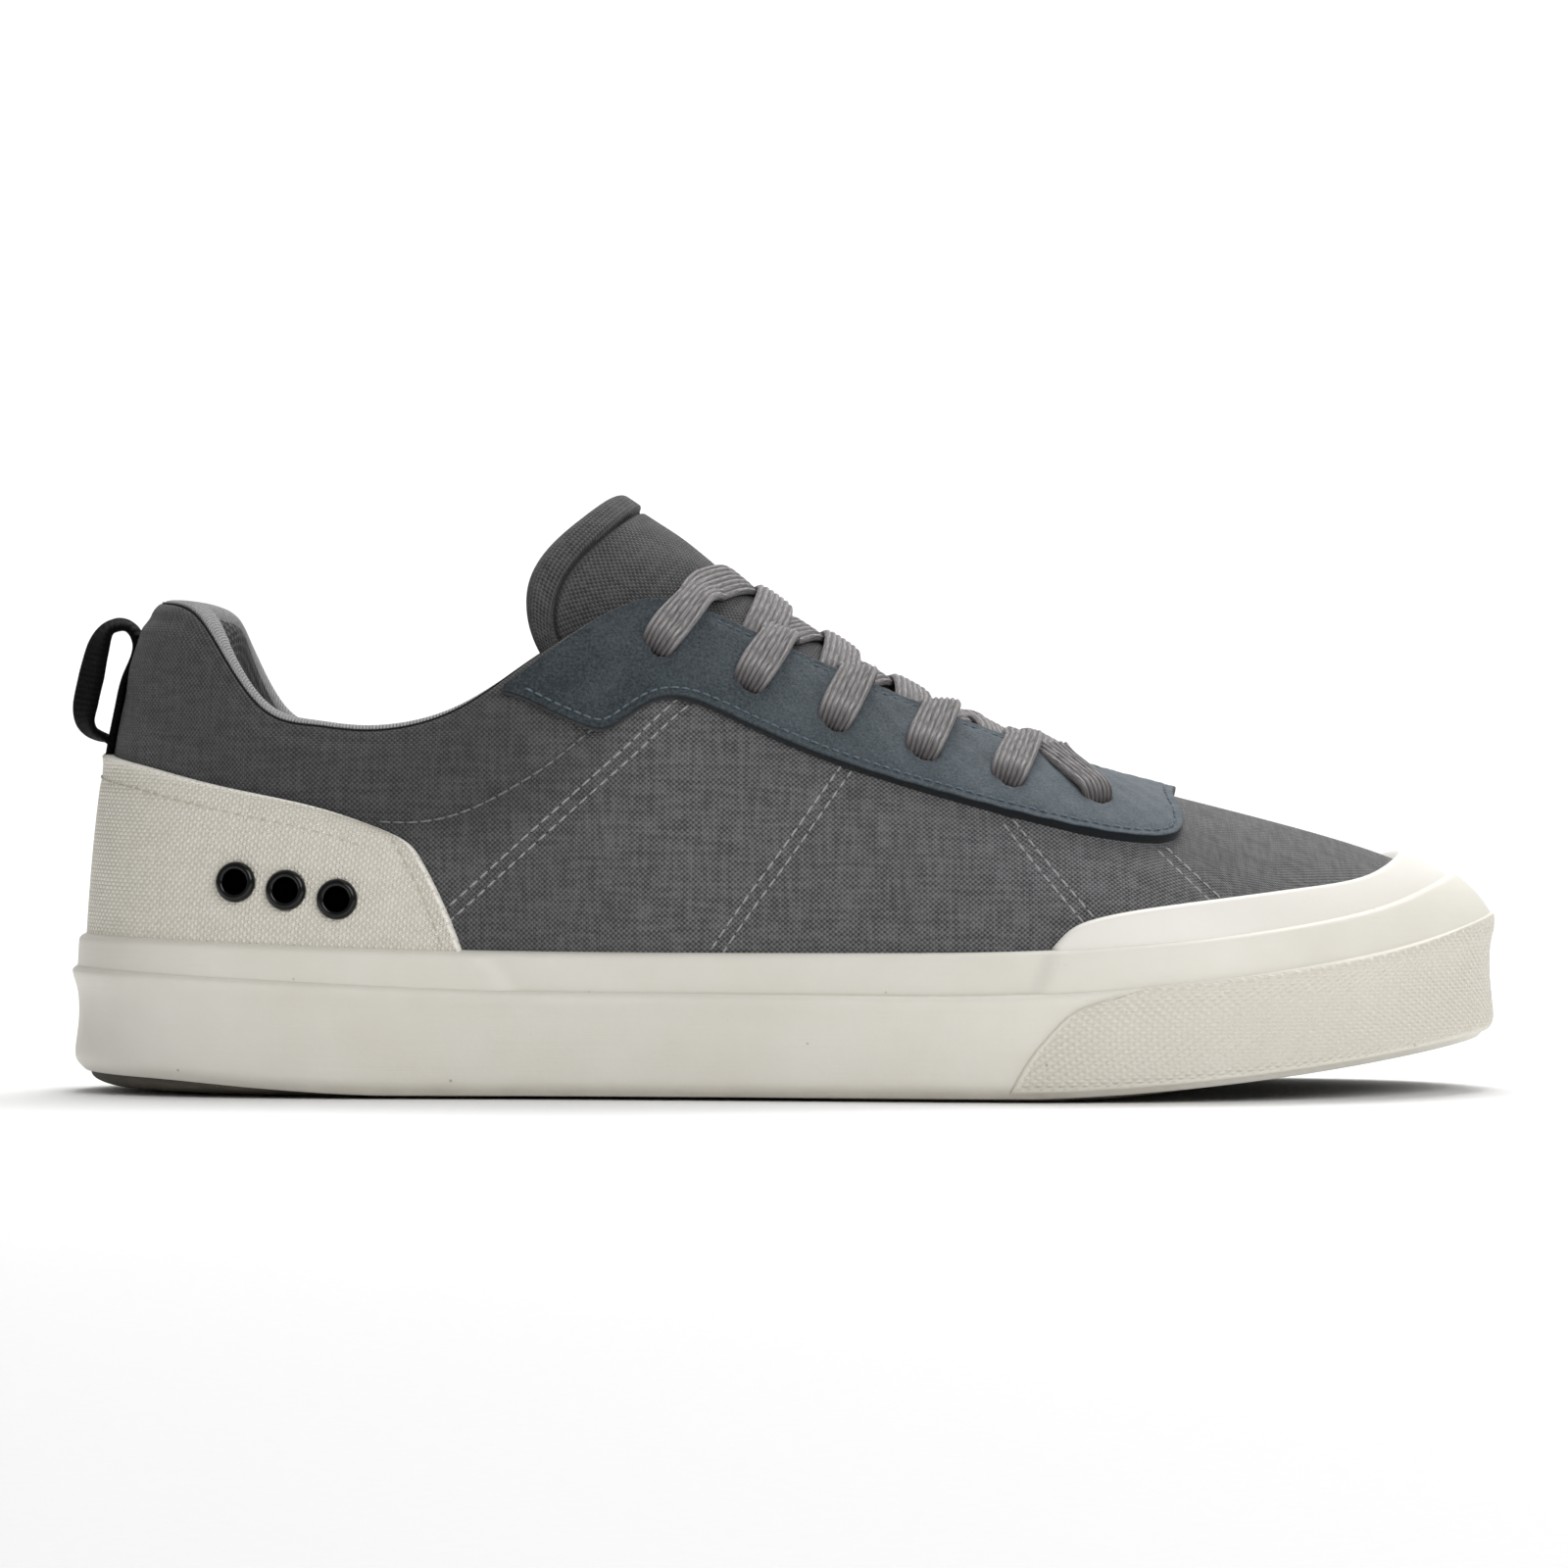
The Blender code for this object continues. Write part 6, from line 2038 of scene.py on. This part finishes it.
@dataclass
class Stage:
    """The camera, the seamless paper and the soft light."""

    camera_place: tuple[float, float, float] = (-0.0007, -1.2, 0.064)
    view_width: float = 0.3282
    distance: float = 1.2
    sensor: float = 36.0
    paper_front: float = -3.0
    paper_back: float = 1.6
    paper_half_width: float = 4.0
    paper_curve: float = 0.8

    def camera(self) -> None:
        """The camera, level with the shoe and square to its outer side."""
        lens = bpy.data.cameras.new("view")
        lens.sensor_width = self.sensor
        lens.lens = self.sensor * self.distance / self.view_width
        lens.clip_start = 0.01
        made = bpy.data.objects.new("view", lens)
        made.location = self.camera_place
        made.rotation_euler = (math.pi / 2, 0.0, 0.0)
        bpy.context.scene.collection.objects.link(made)
        bpy.context.scene.camera = made

    def paper(self) -> None:
        """The floor, which curves up into the backdrop."""
        turns = np.linspace(0, math.pi / 2, 24)
        sweep = [(self.paper_front, 0.0)]
        sweep += [(self.paper_back + self.paper_curve * math.sin(t),
                   self.paper_curve * (1 - math.cos(t))) for t in turns]
        sweep.append((self.paper_back + self.paper_curve, 3.0))
        points = [(x, y, z) for y, z in sweep for x in (-self.paper_half_width, self.paper_half_width)]
        faces = [(2 * i, 2 * i + 1, 2 * i + 3, 2 * i + 2) for i in range(len(sweep) - 1)]
        mesh = bpy.data.meshes.new("studio_floor")
        mesh.from_pydata(points, [], faces)
        mesh.materials.append(PAPER.material())
        mesh.shade_smooth()
        floor = bpy.data.objects.new("studio_floor", mesh)
        bpy.context.scene.collection.objects.link(floor)

    def light(self, name: str, place: Sequence[float], size: float, power: float,
              target: Sequence[float] = (0.0, 0.0, 0.05)) -> None:
        """A square soft light aimed at a point, by default the shoe."""
        lamp = bpy.data.lights.new(name, "AREA")
        lamp.size = size
        lamp.energy = power
        made = bpy.data.objects.new(name, lamp)
        made.location = place
        aim = Vector(target) - Vector(place)
        made.rotation_euler = aim.to_track_quat("-Z", "Y").to_euler()
        bpy.context.scene.collection.objects.link(made)

    def build(self) -> None:
        """Sets up the camera, paper, lights and the room's own light."""
        self.camera()
        self.paper()
        self.light("overhead", (0.15, 0.45, 1.22), 0.8, 12.0)
        self.light("front", (0.70, -1.2, 0.9), 1.0, 11.6)
        self.light("backdrop", (0.0, 1.2, 1.9), 1.6, 30.0, (0.0, 2.4, 0.6))
        world = bpy.data.worlds.new("studio")
        world.use_nodes = True
        back = world.node_tree.nodes["Background"]
        back.inputs["Color"].default_value = (1.0, 1.0, 1.0, 1.0)
        back.inputs["Strength"].default_value = 0.28
        bpy.context.scene.world = world
        bpy.context.scene.view_settings.view_transform = "Standard"


def main() -> None:
    """Builds the stage and every piece of the shoe, in order."""
    logging.basicConfig(level=logging.INFO, format="%(name)s %(message)s")
    Stage().build()
    last = Last()
    tongue = Tongue(last)
    eyestay = Eyestay(last)
    Lacing(last, eyestay, tongue).build()
    tongue.build()
    eyestay.build()
    upper = Upper(last)
    upper.build()
    upper.build_cord()
    counter = HeelCounter(last)
    counter.build()
    VentEyelets(last).build()
    sole = Sole(last)
    sole.build_outsole()
    sole.build_band()
    sole.build_strip()
    sole.build_cap()
    sole.build_bumper()
    sole.build_insole()
    PullLoop(last).build()
    Stitching("quarter_seam_stitches", SEAM_THREAD, "canvas", upper.seam_rows()).build()
    Stitching("collar_stitches", COLLAR_THREAD, "canvas", upper.collar_rows()).build()
    Stitching("eyestay_stitches", SUEDE_THREAD, "suede", eyestay.stitch_rows()).build()
    Stitching("counter_stitches", BONE_THREAD, "counter_cloth", counter.stitch_rows()).build()
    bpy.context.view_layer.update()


if __name__ == "__main__":
    main()
